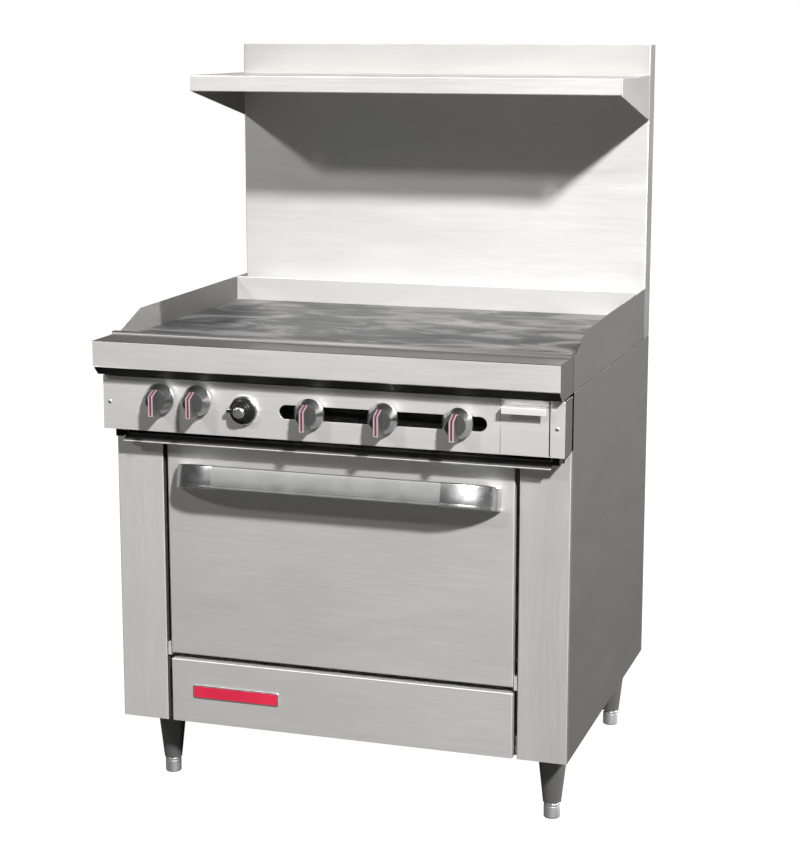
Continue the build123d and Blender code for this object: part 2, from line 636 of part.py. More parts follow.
def make_knob(name, x, z):
    """A round knob with a conical skirt, a grip bar across its flat face, and its stem."""
    back = PANEL_FRONT - KNOB_GAP
    skirt = back - KNOB_SKIRT
    face = back - KNOB_FACE
    front = back - KNOB_DEPTH
    with BuildPart() as knob:
        with BuildSketch(Plane.XY.offset(z)):
            with BuildLine():
                Polyline(
                    (x, back),
                    (x + KNOB_R, back),
                    (x + KNOB_R, skirt),
                    (x + KNOB_FACE_R, face),
                    (x, face),
                    close=True,
                )
            make_face()
        revolve(axis=Axis((x, 0, z), ALONG_Y))
        # The bar is square at the bottom, where it stands out over the skirt, and slopes back
        # to the edge of the face at the top.
        with BuildSketch(Plane.YZ.offset(x - GRIP_HALF)):
            with BuildLine():
                Polyline(
                    (skirt, z - GRIP_TAIL),
                    (front, z - GRIP_TAIL),
                    (front, z + GRIP_BEND),
                    (face, z + KNOB_FACE_R - 1),
                    (skirt, z + KNOB_FACE_R - 1),
                    close=True,
                )
            make_face()
        extrude(amount=2 * GRIP_HALF)
        rod((x, back, z), ALONG_Y, BOSS_R, KNOB_GAP - 1)
        rod((x, back, z), ALONG_Y, STEM_R, STEM_END - back)
    save(knob, name)


for name, (x, z) in OVEN_KNOBS.items() | GRIDDLE_KNOBS.items():
    make_knob(name, x, z)

# ---------------------------------------------------------------- oven
FACE_SHEET = 3.0
LINER = 1.5
FRONT_OF_LINER = FACE_FRAME + FACE_SHEET + GAP
LEDGE = 20.0
LINER_BOTTOM = DECK_Z - LINER
VENT = (36.0, 10.0)
VENTS = 6
VENT_PITCH = 44.0
VENT_Z = 672.0
with BuildPart() as oven_liner:
    outer_x = CAVITY_HALF + LINER
    liner_y = (FRONT_OF_LINER, CAVITY_REAR + LINER)
    block((-outer_x, outer_x), liner_y, (LINER_BOTTOM, CAVITY_TOP + LINER))
    cut((-CAVITY_HALF, CAVITY_HALF), (FRONT_OF_LINER, CAVITY_REAR), (DECK_Z, CAVITY_TOP))
    # The floor is a ledge round a large opening over the burner.
    ledge_x = CAVITY_HALF - LEDGE
    cut((-ledge_x, ledge_x), (FRONT_OF_LINER + LEDGE, CAVITY_REAR - LEDGE), (LINER_BOTTOM, DECK_Z))
    # Slots high in the rear wall let the oven's gases into the flue duct.
    with BuildSketch(Plane.XZ.offset(-CAVITY_REAR)):
        with Locations((0, VENT_Z)):
            with GridLocations(VENT_PITCH, 0, VENTS, 1):
                SlotOverall(*VENT)
    extrude(amount=-LINER, mode=Mode.SUBTRACT)
save(oven_liner, "oven_liner")

DECK_GAP = 2.0
DECK_THICK = 2.9
DECK_LIFT = 0.1
DECK_SLOT = (80.0, 14.0)
DECK_SLOT_PITCH = (600.0, 120.0)
DECK_SLOTS_Y = 35.0
with BuildPart() as oven_deck:
    deck_x = CAVITY_HALF - DECK_GAP
    deck_y = (FRONT_OF_LINER + DECK_GAP + 1, CAVITY_REAR - DECK_GAP)
    deck_z = DECK_Z + DECK_LIFT
    block((-deck_x, deck_x), deck_y, (deck_z, deck_z + DECK_THICK))
    with BuildSketch(Plane.XY.offset(deck_z)):
        with Locations((0, DECK_SLOTS_Y)):
            with GridLocations(*DECK_SLOT_PITCH, 2, 5):
                SlotOverall(*DECK_SLOT, rotation=90)
    extrude(amount=DECK_THICK, mode=Mode.SUBTRACT)
save(oven_deck, "oven_deck")

DUCT_HALF = 150.0
DUCT_Y = (CAVITY_REAR + LINER + GAP, BODY_REAR - 6)
DUCT_Z = (640.0, SEAM_Z - 6)
DUCT_MOUTH = (655.0, 690.0)
INSULATION_Y = (FACE_FRAME + 4, BODY_REAR - 4)
INSULATION_BOTTOM = 300.0
ARM_BAY_HALF = 9.0
ARM_BAY_REAR = -248.0
ARM_BAY_TOP = 388.0
with BuildPart() as oven_insulation:
    block((-INSULATION_HALF, INSULATION_HALF), INSULATION_Y, (INSULATION_BOTTOM, INSULATION_TOP))
    bay_x = CAVITY_HALF + LINER + GAP
    bay_y = (INSULATION_Y[0], CAVITY_REAR + LINER + GAP)
    cut((-bay_x, bay_x), bay_y, (INSULATION_BOTTOM, CAVITY_TOP + LINER + GAP))
    duct_x = DUCT_HALF + GAP
    cut((-duct_x, duct_x), (bay_y[1], INSULATION_Y[1]), (DUCT_Z[0] - GAP, INSULATION_TOP))
    for side in SIDES.values():
        arm_bay = span(side, ARM_X - ARM_BAY_HALF, ARM_X + ARM_BAY_HALF)
        cut(arm_bay, (INSULATION_Y[0], ARM_BAY_REAR), (INSULATION_BOTTOM, ARM_BAY_TOP))
save(oven_insulation, "oven_insulation")

with BuildPart() as flue_duct:
    block((-DUCT_HALF, DUCT_HALF), DUCT_Y, DUCT_Z)
    duct_inner = DUCT_HALF - SHEET
    duct_inner_y = (DUCT_Y[0] + SHEET, DUCT_Y[1] - SHEET)
    cut((-duct_inner, duct_inner), duct_inner_y, (DUCT_Z[0] + SHEET, DUCT_Z[1]))
    cut((-duct_inner, duct_inner), (DUCT_Y[0], DUCT_Y[0] + SHEET), DUCT_MOUTH)
save(flue_duct, "flue_duct")

# The face frame closes the front of the body from the base frame up to the tray, with the
# oven's mouth, an access hole for the burner, slots for the hinge arms, and a bracket welded on
# at each side for the hinge pin.
ARM_SLOT = (ARM_X - 6, ARM_X + 6)
ARM_SLOT_Z = (297.0, 378.0)
BRACKET_X = (357.0, 363.6)
BRACKET_FRONT = -336.0
BRACKET_Z = (293.0, 320.0)
FACE_HALF = 384.0
ACCESS_HALF = 45.0
ACCESS_Z = (232.0, 276.0)
with BuildPart() as oven_front_frame:
    frame_y = (FACE_FRAME, FACE_FRAME + FACE_SHEET)
    block((-FACE_HALF, FACE_HALF), frame_y, (FRAME_TOP + GAP, STILE_NOTCH - 2))
    cut((-CAVITY_HALF, CAVITY_HALF), frame_y, (DECK_Z, CAVITY_TOP))
    cut((-ACCESS_HALF, ACCESS_HALF), frame_y, ACCESS_Z)
    for side in SIDES.values():
        cut(span(side, *ARM_SLOT), frame_y, ARM_SLOT_Z)
        bracket_x = span(side, *BRACKET_X)
        block(bracket_x, (BRACKET_FRONT, FACE_FRAME), BRACKET_Z)
        bore_start = (bracket_x[0], HINGE_Y, HINGE_Z)
        rod(bore_start, ALONG_X, PIN_R + RUNNING_GAP, bracket_x[1] - bracket_x[0], Mode.SUBTRACT)
save(oven_front_frame, "oven_front_frame")

OVEN_TUBE_R = 16.0
OVEN_TUBE_Y = (-286.0, 314.0)
SHUTTER_R = 22.0
SHUTTER_Y = -295.0
SHUTTER_LENGTH = 10.0
SHUTTER_HOLE_R = 9.0
SPREADER_X = 150.0
SPREADER_Y = (-220.0, 280.0)
SPREADER_Z = (306.0, 308.0)
POST_HALF = 4.0
POST_DEPTH = 20.0
POST_STARTS = (-160.0, 220.0)
BURNER_FOOT = (20.0, 4.0)
with BuildPart() as oven_burner:
    tube_start = (0, OVEN_TUBE_Y[0], OVEN_BURNER_Z)
    rod(tube_start, ALONG_Y, OVEN_TUBE_R, OVEN_TUBE_Y[1] - OVEN_TUBE_Y[0])
    rod((0, SHUTTER_Y, OVEN_BURNER_Z), ALONG_Y, SHUTTER_R, SHUTTER_LENGTH)
    hole_depth = SHUTTER_LENGTH - 3
    rod((0, SHUTTER_Y, OVEN_BURNER_Z), ALONG_Y, SHUTTER_HOLE_R, hole_depth, Mode.SUBTRACT)
    # A spreader plate over the tube, on posts, and two feet on the base frame.
    block((-SPREADER_X, SPREADER_X), SPREADER_Y, SPREADER_Z)
    for post_y in POST_STARTS:
        post_z = (OVEN_BURNER_Z, SPREADER_Z[0])
        block((-POST_HALF, POST_HALF), (post_y, post_y + POST_DEPTH), post_z)
    for foot_y in (CROSS_FRONT[0], CROSS_REAR[0]):
        foot_x = (-BURNER_FOOT[0], BURNER_FOOT[0])
        block(foot_x, (foot_y, foot_y + BURNER_FOOT[1]), (FRAME_TOP, OVEN_BURNER_Z))
save(oven_burner, "oven_burner")

# Rack guides: a wire frame on each side wall, with three rungs that carry the rack.
WIRE_R = 3.0
RUNG_X = 322.0
RUNGS = (420.0, 520.0, 620.0)
GUIDE_Y = (-270.0, 345.0)
POST_INSET = 15.0
POST_OUT = 4.5
POST_Z = (350.0, 670.0)
with BuildPart() as rack_guides:
    for side in SIDES.values():
        for post_y in (GUIDE_Y[0] + POST_INSET, sum(GUIDE_Y) / 2, GUIDE_Y[1] - POST_INSET):
            post_start = (side * (RUNG_X + POST_OUT), post_y, POST_Z[0])
            rod(post_start, ALONG_Z, WIRE_R, POST_Z[1] - POST_Z[0])
        for rung_z in RUNGS:
            rod((side * RUNG_X, GUIDE_Y[0], rung_z), ALONG_Y, WIRE_R, GUIDE_Y[1] - GUIDE_Y[0])
save(rack_guides, "rack_guides")

RACK_SIDE_R = 3.5
RACK_HALF = RUNG_X - WIRE_R
RACK_Z = RUNGS[1] + WIRE_R + RACK_SIDE_R + 0.2
RACK_Y = (-266.0, 344.0)
RACK_WIRE = 2.5
RACK_BAR = 3.2
WIRE_PITCH = 25.0
WIRES = 24
MIDDLE_BAR_Y = 40.0
WIRE_OVERHANG = 6.0
with BuildPart() as oven_rack:
    for side in SIDES.values():
        rod((side * RACK_HALF, RACK_Y[0], RACK_Z), ALONG_Y, RACK_SIDE_R, RACK_Y[1] - RACK_Y[0])
    wire_y = (RACK_Y[0] + SHEET, RACK_Y[1] - SHEET)
    end_bars = (wire_y[0] + WIRE_OVERHANG, wire_y[1] - WIRE_OVERHANG)
    for bar_y in (end_bars[0], MIDDLE_BAR_Y, end_bars[1]):
        rod((-RACK_HALF, bar_y, RACK_Z), ALONG_X, RACK_BAR, 2 * RACK_HALF)
    with Locations(Plane(origin=(0, wire_y[0], RACK_Z), x_dir=ALONG_X, z_dir=ALONG_Y)):
        with GridLocations(WIRE_PITCH, 1, WIRES, 1):
            Cylinder(
                RACK_WIRE,
                wire_y[1] - wire_y[0],
                align=(Align.CENTER, Align.CENTER, Align.MIN),
            )
save(oven_rack, "oven_rack")

# ---------------------------------------------------------------- oven door
SKIN_BACK = -306.5
PANEL_SHEET_Y = (-306.0, DOOR_BACK)
INNER_HALF = 353.0
INNER_Z = (301.0, 731.0)
FIELD_HALF = 296.0
FIELD_DEPTH = 8.0
FIELD_Z = (372.0, 682.0)
FILL_HALF = 352.0
FILL_Z = (302.0, 730.0)
CORNER_X = (318.0, 353.0)
CORNER_Z = (300.0, 330.0)
SEAL_OUTER = (350.0, 327.0, 719.0)
SEAL_WIDTH = 12.0
ARM_NOTCH_X = (ARM_X - 4.5, ARM_X + 4.5)
ARM_NOTCH_Z = (300.0, 316.0)
with BuildPart() as door_outer_skin:
    block((-DOOR_HALF, DOOR_HALF), (BODY_FRONT, SKIN_BACK), (DOOR_BOTTOM, DOOR_TOP))
    tray_x = DOOR_HALF - SHEET
    tray_z = (DOOR_BOTTOM + SHEET, DOOR_TOP - SHEET)
    cut((-tray_x, tray_x), (BODY_FRONT + SHEET, SKIN_BACK), tray_z)
    for side in SIDES.values():
        wall_x = span(side, DOOR_HALF - SHEET, DOOR_HALF)
        hole_start = (wall_x[0], HINGE_Y, HINGE_Z)
        rod(hole_start, ALONG_X, PIN_R + 0.2, SHEET, Mode.SUBTRACT)
save(door_outer_skin, "door_outer_skin")

with BuildPart() as door_inner_panel:
    block((-INNER_HALF, INNER_HALF), PANEL_SHEET_Y, INNER_Z)
    # A raised field stands into the oven's mouth.
    block((-FIELD_HALF, FIELD_HALF), (DOOR_BACK, DOOR_BACK + FIELD_DEPTH), FIELD_Z)
    for side in SIDES.values():
        cut(span(side, *ARM_NOTCH_X), PANEL_SHEET_Y, ARM_NOTCH_Z)
save(door_inner_panel, "door_inner_panel")

with BuildPart() as door_insulation:
    block((-FILL_HALF, FILL_HALF), (BODY_FRONT + SHEET + GAP, SKIN_BACK), FILL_Z)
    for side in SIDES.values():
        cut(span(side, *CORNER_X), (BODY_FRONT, SKIN_BACK), CORNER_Z)
save(door_insulation, "door_insulation")

with BuildPart() as door_gasket:
    gasket_y = (DOOR_BACK, FACE_FRAME - 0.3)
    seal_half, seal_bottom, seal_top = SEAL_OUTER
    block((-seal_half, seal_half), gasket_y, (seal_bottom, seal_top))
    hollow_half = seal_half - SEAL_WIDTH
    cut((-hollow_half, hollow_half), gasket_y, (seal_bottom + SEAL_WIDTH, seal_top - SEAL_WIDTH))
save(door_gasket, "door_gasket")

# Hinge arms: a block in each lower corner of the door, with the hinge pin and a bar that
# reaches through the face frame to the spring.
ARM_END = -262.0
ARM_HALF = 4.0
ARM_START = -310.0
ARM_Z = (301.0, 313.0)
HINGE_BLOCK_X = (319.0, 353.5)
HINGE_BLOCK_Y = (-336.0, -308.0)
HINGE_BLOCK_Z = (301.0, 328.0)
PIN_X = (353.0, 363.6)
with BuildPart() as door_hinge_arms:
    for side in SIDES.values():
        block(span(side, *HINGE_BLOCK_X), HINGE_BLOCK_Y, HINGE_BLOCK_Z)
        block(span(side, ARM_X - ARM_HALF, ARM_X + ARM_HALF), (ARM_START, ARM_END), ARM_Z)
        pin_x = span(side, *PIN_X)
        rod((pin_x[0], HINGE_Y, HINGE_Z), ALONG_X, PIN_R, pin_x[1] - pin_x[0])
save(door_hinge_arms, "door_hinge_arms")

# The door's springs pull the ends of the hinge arms down to the base frame's cross bar.
SPRING_TOP = 300.5
SPRING_BOTTOM = FRAME_TOP + GAP
SPRING_Y = -268.0
SPRING_R = 8.0
with BuildPart() as door_springs:
    for side in SIDES.values():
        spring_start = (side * ARM_X, SPRING_Y, SPRING_BOTTOM)
        rod(spring_start, ALONG_Z, SPRING_R, SPRING_TOP - SPRING_BOTTOM)
save(door_springs, "door_springs")

# The handle is a bowed channel whose middle stands out from the door and rises above its ends.
HANDLE_HALF = 331.0
HANDLE_STRAIGHT = 231.0
HANDLE_HEIGHT = 46.0
HANDLE_END_Z = 666.0
HANDLE_TILT = 15.5
HANDLE_REACH = 78.0
HANDLE_BAND = 24.0
HANDLE_WALL = 3.5
HANDLE_FOOT = 12.0


def bow(inset):
    """The handle's plan: straight in the middle, with each end curved back to the door."""
    reach = HANDLE_REACH - inset
    half = HANDLE_HALF - inset
    with BuildSketch(Plane.XY, mode=Mode.PRIVATE) as plan:
        with Locations((-HANDLE_STRAIGHT, 0), (HANDLE_STRAIGHT, 0)):
            Ellipse(half - HANDLE_STRAIGHT, reach)
        Rectangle(2 * HANDLE_STRAIGHT, 2 * reach)
        Rectangle(4 * half, 4 * reach, align=(Align.CENTER, Align.MIN), mode=Mode.SUBTRACT)
    return plan.sketch


door_line = Plane(origin=(0, BODY_FRONT, HANDLE_END_Z), x_dir=(1, 0, 0))
handle_plane = door_line.rotated((-HANDLE_TILT, 0, 0))
with BuildPart() as door_handle:
    with BuildSketch(handle_plane.offset(-HANDLE_HEIGHT / 2)):
        add(bow(0))
    extrude(amount=HANDLE_HEIGHT)
    with BuildSketch(handle_plane.offset(-HANDLE_HEIGHT)):
        add(bow(HANDLE_BAND))
    extrude(amount=2 * HANDLE_HEIGHT, mode=Mode.SUBTRACT)
    # The channel behind the face stops short of the door, where the ends are solid feet.
    with BuildSketch(handle_plane.offset(-HANDLE_HEIGHT / 2 + HANDLE_WALL)):
        add(bow(HANDLE_WALL))
        foot_slab = (3 * HANDLE_HALF, 5 * HANDLE_FOOT)
        with Locations((0, -HANDLE_FOOT)):
            Rectangle(*foot_slab, align=(Align.CENTER, Align.MIN), mode=Mode.SUBTRACT)
    extrude(amount=HANDLE_HEIGHT - 2 * HANDLE_WALL, mode=Mode.SUBTRACT)
    # The tilted feet are cut off flush with the door's face.
    cut((-HANDLE_HALF, HANDLE_HALF), (BODY_FRONT, BODY_FRONT + HANDLE_HEIGHT), (DECK_Z, DOOR_TOP))
save(door_handle, "door_handle")

# ---------------------------------------------------------------- drawer, tray and kick panel
DRAWER_BODY = (346.0, 430.0)
DRAWER_TOP = 860.0
DRAWER_FLOOR = 771.0
DRAWER_REAR = 180.0
TAB_X = (347.5, 431.5)
TAB_Z = 860.0
TAB_REACH = 20.0
TAB_DROP = 13.0
with BuildPart() as grease_drawer:
    block((DRAWER_LEFT, DRAWER_RIGHT), PANEL_SKIN, (PANEL_BOTTOM + GAP, PANEL_TOP - GAP))
    block(DRAWER_BODY, (PANEL_FRONT, DRAWER_REAR), (DRAWER_FLOOR, DRAWER_TOP))
    drawer_inner = (DRAWER_BODY[0] + SHEET, DRAWER_BODY[1] - SHEET)
    drawer_y = (PANEL_FRONT + SHEET, DRAWER_REAR - SHEET)
    cut(drawer_inner, drawer_y, (DRAWER_FLOOR + SHEET, DRAWER_TOP))
    # The pull is a tab bent out of the front and turned down.
    tab_front = PANEL_FRONT - TAB_REACH
    block(TAB_X, (tab_front, PANEL_FRONT), (TAB_Z - SHEET, TAB_Z))
    block(TAB_X, (tab_front, tab_front + SHEET), (TAB_Z - TAB_DROP, TAB_Z))
save(grease_drawer, "grease_drawer")

TRAY_RIM = 762.0
TRAY_REAR = 330.0
TRAY_FRONT = -358.0
LIP_HALF = 433.0
LIP_OUTER = (-375.0, 738.0)
LIP_INNER = (-357.0, 749.5)
LIP_THICK = 2.0
with BuildPart() as crumb_tray:
    block((-TRAY_HALF, TRAY_HALF), (TRAY_FRONT, TRAY_REAR), (TRAY_FLOOR, TRAY_RIM))
    tray_inner = TRAY_HALF - SHEET
    tray_z = (TRAY_FLOOR + SHEET, TRAY_RIM)
    cut((-tray_inner, tray_inner), (TRAY_FRONT, TRAY_REAR - SHEET), tray_z)
    # The front lip slopes down and out, and is the pull.
    with BuildSketch(Plane.YZ.offset(-LIP_HALF)):
        with BuildLine():
            Polyline(
                (LIP_INNER[0], LIP_INNER[1] + LIP_THICK),
                (LIP_OUTER[0], LIP_OUTER[1] + LIP_THICK),
                LIP_OUTER,
                LIP_INNER,
                close=True,
            )
        make_face()
    extrude(amount=2 * LIP_HALF)
save(crumb_tray, "crumb_tray")

RUNNER_X = (418.0, 434.5, 449.0)
RUNNER_Y = (-374.0, -350.0)
RUNNER_Z = (747.0, 749.0)
with BuildPart() as tray_runners:
    for side in SIDES.values():
        ledge, wall, outside = RUNNER_X
        block(span(side, ledge, outside), (RUNNER_Y[1], TRAY_REAR), RUNNER_Z)
        block(span(side, wall, outside), (RUNNER_Y[0], TRAY_REAR), (RUNNER_Z[0], TRAY_RIM))
save(tray_runners, "tray_runners")

KICK_RETURN = 18.0
with BuildPart() as kick_panel:
    block((-DOOR_HALF, DOOR_HALF), (BODY_FRONT, BODY_FRONT + SHEET), (BODY_BOTTOM, KICK_TOP))
    kick_y = (BODY_FRONT, BODY_FRONT + KICK_RETURN)
    block((-DOOR_HALF, DOOR_HALF), kick_y, (KICK_TOP - SHEET, KICK_TOP))
    for side in SIDES.values():
        block(span(side, DOOR_HALF - SHEET, DOOR_HALF), kick_y, (BODY_BOTTOM, KICK_TOP))
save(kick_panel, "kick_panel")

PLATE_SIZE = (184.0, 28.0)
PLATE_CENTRE = (-217.0, 222.0)
PLATE_CORNER_R = 4.0
PLATE_THICK = 2.0
with BuildPart() as blank_plate:
    with BuildSketch(Plane.XZ.offset(-BODY_FRONT)):
        with Locations(PLATE_CENTRE):
            RectangleRounded(*PLATE_SIZE, PLATE_CORNER_R)
    extrude(amount=PLATE_THICK)
save(blank_plate, "blank_plate")

# ---------------------------------------------------------------- riser and shelf
with BuildPart() as flue_riser:
    riser_z = (SEAM_Z, TOP)
    block((-HALF_WIDTH, HALF_WIDTH), (RISER_FRONT, BODY_REAR), riser_z)
    riser_inner = HALF_WIDTH - SHEET
    cut((-riser_inner, riser_inner), (RISER_FRONT + SHEET, BODY_REAR - SHEET), riser_z)
save(flue_riser, "flue_riser")

SHELF_BACK = RISER_FRONT - GAP
SHELF_HEM = 12.0
SHELF_DROP = 30.0
BRACKET_START = SHELF_FRONT + SHELF_HEM + GAP
with BuildPart() as high_shelf:
    shelf_x = (-HALF_WIDTH, HALF_WIDTH)
    block(shelf_x, (SHELF_FRONT, SHELF_BACK), (SHELF_TOP - SHEET, SHELF_TOP))
    block(shelf_x, (SHELF_FRONT, SHELF_FRONT + SHEET), (SHELF_UNDER, SHELF_TOP))
    block(shelf_x, (SHELF_FRONT, SHELF_FRONT + SHELF_HEM), (SHELF_UNDER, SHELF_UNDER + SHEET))
    block(shelf_x, (SHELF_BACK - SHEET, SHELF_BACK), (SHELF_TOP - SHELF_DROP, SHELF_TOP))
save(high_shelf, "high_shelf")

with BuildPart() as shelf_brackets:
    for side in SIDES.values():
        bracket_x = HALF_WIDTH if side > 0 else -HALF_WIDTH + CHEEK_SHEET
        with BuildSketch(Plane.YZ.offset(bracket_x)):
            with BuildLine():
                Polyline(
                    (BRACKET_START, SHELF_UNDER - 2),
                    (BRACKET_START, SHELF_TOP - SHEET),
                    (SHELF_BACK - SHEET, SHELF_TOP - SHEET),
                    (SHELF_BACK - SHEET, SHELF_TOP - SHELF_DROP),
                    (SHELF_BACK, SHELF_TOP - SHELF_DROP),
                    (SHELF_BACK, BRACKET_TIP),
                    close=True,
                )
            make_face()
        extrude(amount=-CHEEK_SHEET)
save(shelf_brackets, "shelf_brackets")

# ---------------------------------------------------------------- legs and feet
LEG_PLACES = {
    f"{end}_{side}": (sign * LEG_X, leg_y)
    for end, leg_y in (("front", LEG_FRONT_Y), ("rear", LEG_REAR_Y))
    for side, sign in SIDES.items()
}
for name, (x, y) in LEG_PLACES.items():
    with BuildPart() as leg:
        with BuildSketch(Plane((x, 0, 0), x_dir=(1, 0, 0), z_dir=(0, -1, 0)).offset(-y)):
            with BuildLine():
                Polyline(
                    (FOOT_STEM_R + RUNNING_GAP, LEG_BOTTOM_Z),
                    (LEG_BOTTOM_R, LEG_BOTTOM_Z),
                    (LEG_BOTTOM_R, LEG_BOTTOM_Z + LEG_CUFF),
                    (LEG_TOP_R, BODY_BOTTOM - LEG_RIM),
                    (LEG_TOP_R, BODY_BOTTOM),
                    (FOOT_STEM_R + RUNNING_GAP, BODY_BOTTOM),
                    close=True,
                )
            make_face()
        revolve(axis=Axis((x, y, 0), (0, 0, 1)))
    save(leg, f"leg_{name}")

    with BuildPart() as foot:
        rod((x, y, 0), ALONG_Z, FOOT_R, LEG_BOTTOM_Z - GAP)
        rims = foot.edges().filter_by(GeomType.CIRCLE)
        fillet(rims.sort_by(Axis.Z)[0], radius=FOOT_EDGE_R)
        rod((x, y, LEG_BOTTOM_Z - 1), ALONG_Z, FOOT_STEM_R, FOOT_STEM_LENGTH)
    save(foot, f"foot_{name}")
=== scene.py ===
import json
import math

import bmesh
import bpy
from mathutils import Matrix, Vector


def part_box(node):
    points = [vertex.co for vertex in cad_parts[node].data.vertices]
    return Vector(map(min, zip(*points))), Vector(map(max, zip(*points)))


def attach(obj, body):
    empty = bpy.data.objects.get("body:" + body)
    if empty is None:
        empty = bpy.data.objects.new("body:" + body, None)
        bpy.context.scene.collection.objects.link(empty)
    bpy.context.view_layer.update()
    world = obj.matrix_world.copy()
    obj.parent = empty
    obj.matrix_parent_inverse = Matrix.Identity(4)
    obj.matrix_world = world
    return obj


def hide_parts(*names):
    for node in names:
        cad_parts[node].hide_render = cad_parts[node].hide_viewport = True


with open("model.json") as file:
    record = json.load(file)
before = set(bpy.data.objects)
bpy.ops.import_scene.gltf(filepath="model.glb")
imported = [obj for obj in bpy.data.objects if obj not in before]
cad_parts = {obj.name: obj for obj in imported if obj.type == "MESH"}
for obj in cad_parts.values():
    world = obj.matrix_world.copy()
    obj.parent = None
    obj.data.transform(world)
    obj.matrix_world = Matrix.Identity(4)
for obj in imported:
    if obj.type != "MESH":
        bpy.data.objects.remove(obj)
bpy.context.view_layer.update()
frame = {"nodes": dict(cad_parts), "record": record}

# The looks of a commercial gas range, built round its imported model. Metres, +Z up, -Y to the
# front. Places come from the frame's boxes where a box gives them; the others are named beside
# the piece that uses them.
MM = 0.001
BODY_OF = {
    node: body
    for body, members in frame["record"]["behaviour"]["bodies"].items()
    for node in members
}


# ---------------------------------------------------------------- camera, light and floor
CAMERA_PLACE = (1.2525, -3.8451, 1.5374)
CAMERA_TILT_DOWN = math.radians(10.457)
CAMERA_TURN_LEFT = math.radians(17.927)
LENS = 84.05
SENSOR = 36.0
SHIFT = (0.0066, -0.0345)


def make_camera():
    """The camera stands to the right of the range and a little above its shelf."""
    data = bpy.data.cameras.new("camera")
    data.lens = LENS
    data.sensor_width = SENSOR
    data.shift_x, data.shift_y = SHIFT
    camera = bpy.data.objects.new("camera", data)
    camera.location = CAMERA_PLACE
    camera.rotation_euler = (math.pi / 2 - CAMERA_TILT_DOWN, 0, CAMERA_TURN_LEFT)
    bpy.context.scene.collection.objects.link(camera)
    bpy.context.scene.camera = camera


# Each light's name, azimuth and elevation in degrees, strength and softness. Two stand in front
# and cast the shelf's two shadows, one shines past the riser's right edge, and two light the back
# and the left side.
KEYS = (
    ("key_left", -32, 27, 1.1, 4),
    ("key_right", 37, 32, 13.4, 4),
    ("key_far", 116.5, 13, 9.0, 1),
    ("key_back", 176, 14, 2.0, 4),
    ("key_side", -128, 12, 1.8, 4),
)
KEY_COLOUR = (1.0, 0.995, 0.975)
KEY_DISTANCE = 12.4
KEY_TARGET = Vector((0, 0.355, 1.4))


def make_key(name, azimuth, elevation, strength, softness):
    """A round light aimed at the riser: azimuth turns from the range's front to its right.

    The strength is the light it gives at the riser, and the softness is its width in degrees.
    """
    data = bpy.data.lights.new(name, "AREA")
    data.shape = "DISK"
    data.size = KEY_DISTANCE * math.tan(math.radians(softness))
    data.energy = strength * math.pi * KEY_DISTANCE**2
    data.color = KEY_COLOUR
    lamp = bpy.data.objects.new(name, data)
    lamp.rotation_euler = (math.radians(90 - elevation), 0, math.radians(azimuth))
    outward = Vector((0, 0, KEY_DISTANCE))
    outward.rotate(lamp.rotation_euler)
    lamp.location = KEY_TARGET + outward
    lamp.visible_camera = False
    bpy.context.scene.collection.objects.link(lamp)


ROOM_BELOW = (0.03, 0.03, 0.03, 1)
ROOM_ABOVE = (0.10, 0.10, 0.10, 1)


def make_world():
    """White to the eye, and a dim grey room to the steel, lighter overhead than below."""
    world = bpy.data.worlds.new("studio")
    bpy.context.scene.world = world
    world.use_nodes = True
    tree = world.node_tree
    tree.nodes.clear()
    output = tree.nodes.new("ShaderNodeOutputWorld")
    seen = tree.nodes.new("ShaderNodeBackground")
    seen.inputs["Color"].default_value = (1, 1, 1, 1)
    room = tree.nodes.new("ShaderNodeBackground")
    room.inputs["Strength"].default_value = 1.0
    coords = tree.nodes.new("ShaderNodeTexCoord")
    split = tree.nodes.new("ShaderNodeSeparateXYZ")
    tree.links.new(coords.outputs["Generated"], split.inputs["Vector"])
    shade = tree.nodes.new("ShaderNodeValToRGB")
    stops = shade.color_ramp.elements
    stops[0].position = 0.0
    stops[0].color = ROOM_BELOW
    stops[1].position = 1.0
    stops[1].color = ROOM_ABOVE
    height = tree.nodes.new("ShaderNodeMapRange")
    height.inputs["From Min"].default_value = -1.0
    tree.links.new(split.outputs["Z"], height.inputs["Value"])
    tree.links.new(height.outputs["Result"], shade.inputs["Fac"])
    tree.links.new(shade.outputs["Color"], room.inputs["Color"])
    path = tree.nodes.new("ShaderNodeLightPath")
    mixer = tree.nodes.new("ShaderNodeMixShader")
    tree.links.new(path.outputs["Is Camera Ray"], mixer.inputs["Fac"])
    tree.links.new(room.outputs["Background"], mixer.inputs[1])
    tree.links.new(seen.outputs["Background"], mixer.inputs[2])
    tree.links.new(mixer.outputs["Shader"], output.inputs["Surface"])


FLOOR_HALF = 9.0
FLOOR_Z = -0.2 * MM
FLOOR_TONE = (0.04, 0.04, 0.04, 1)


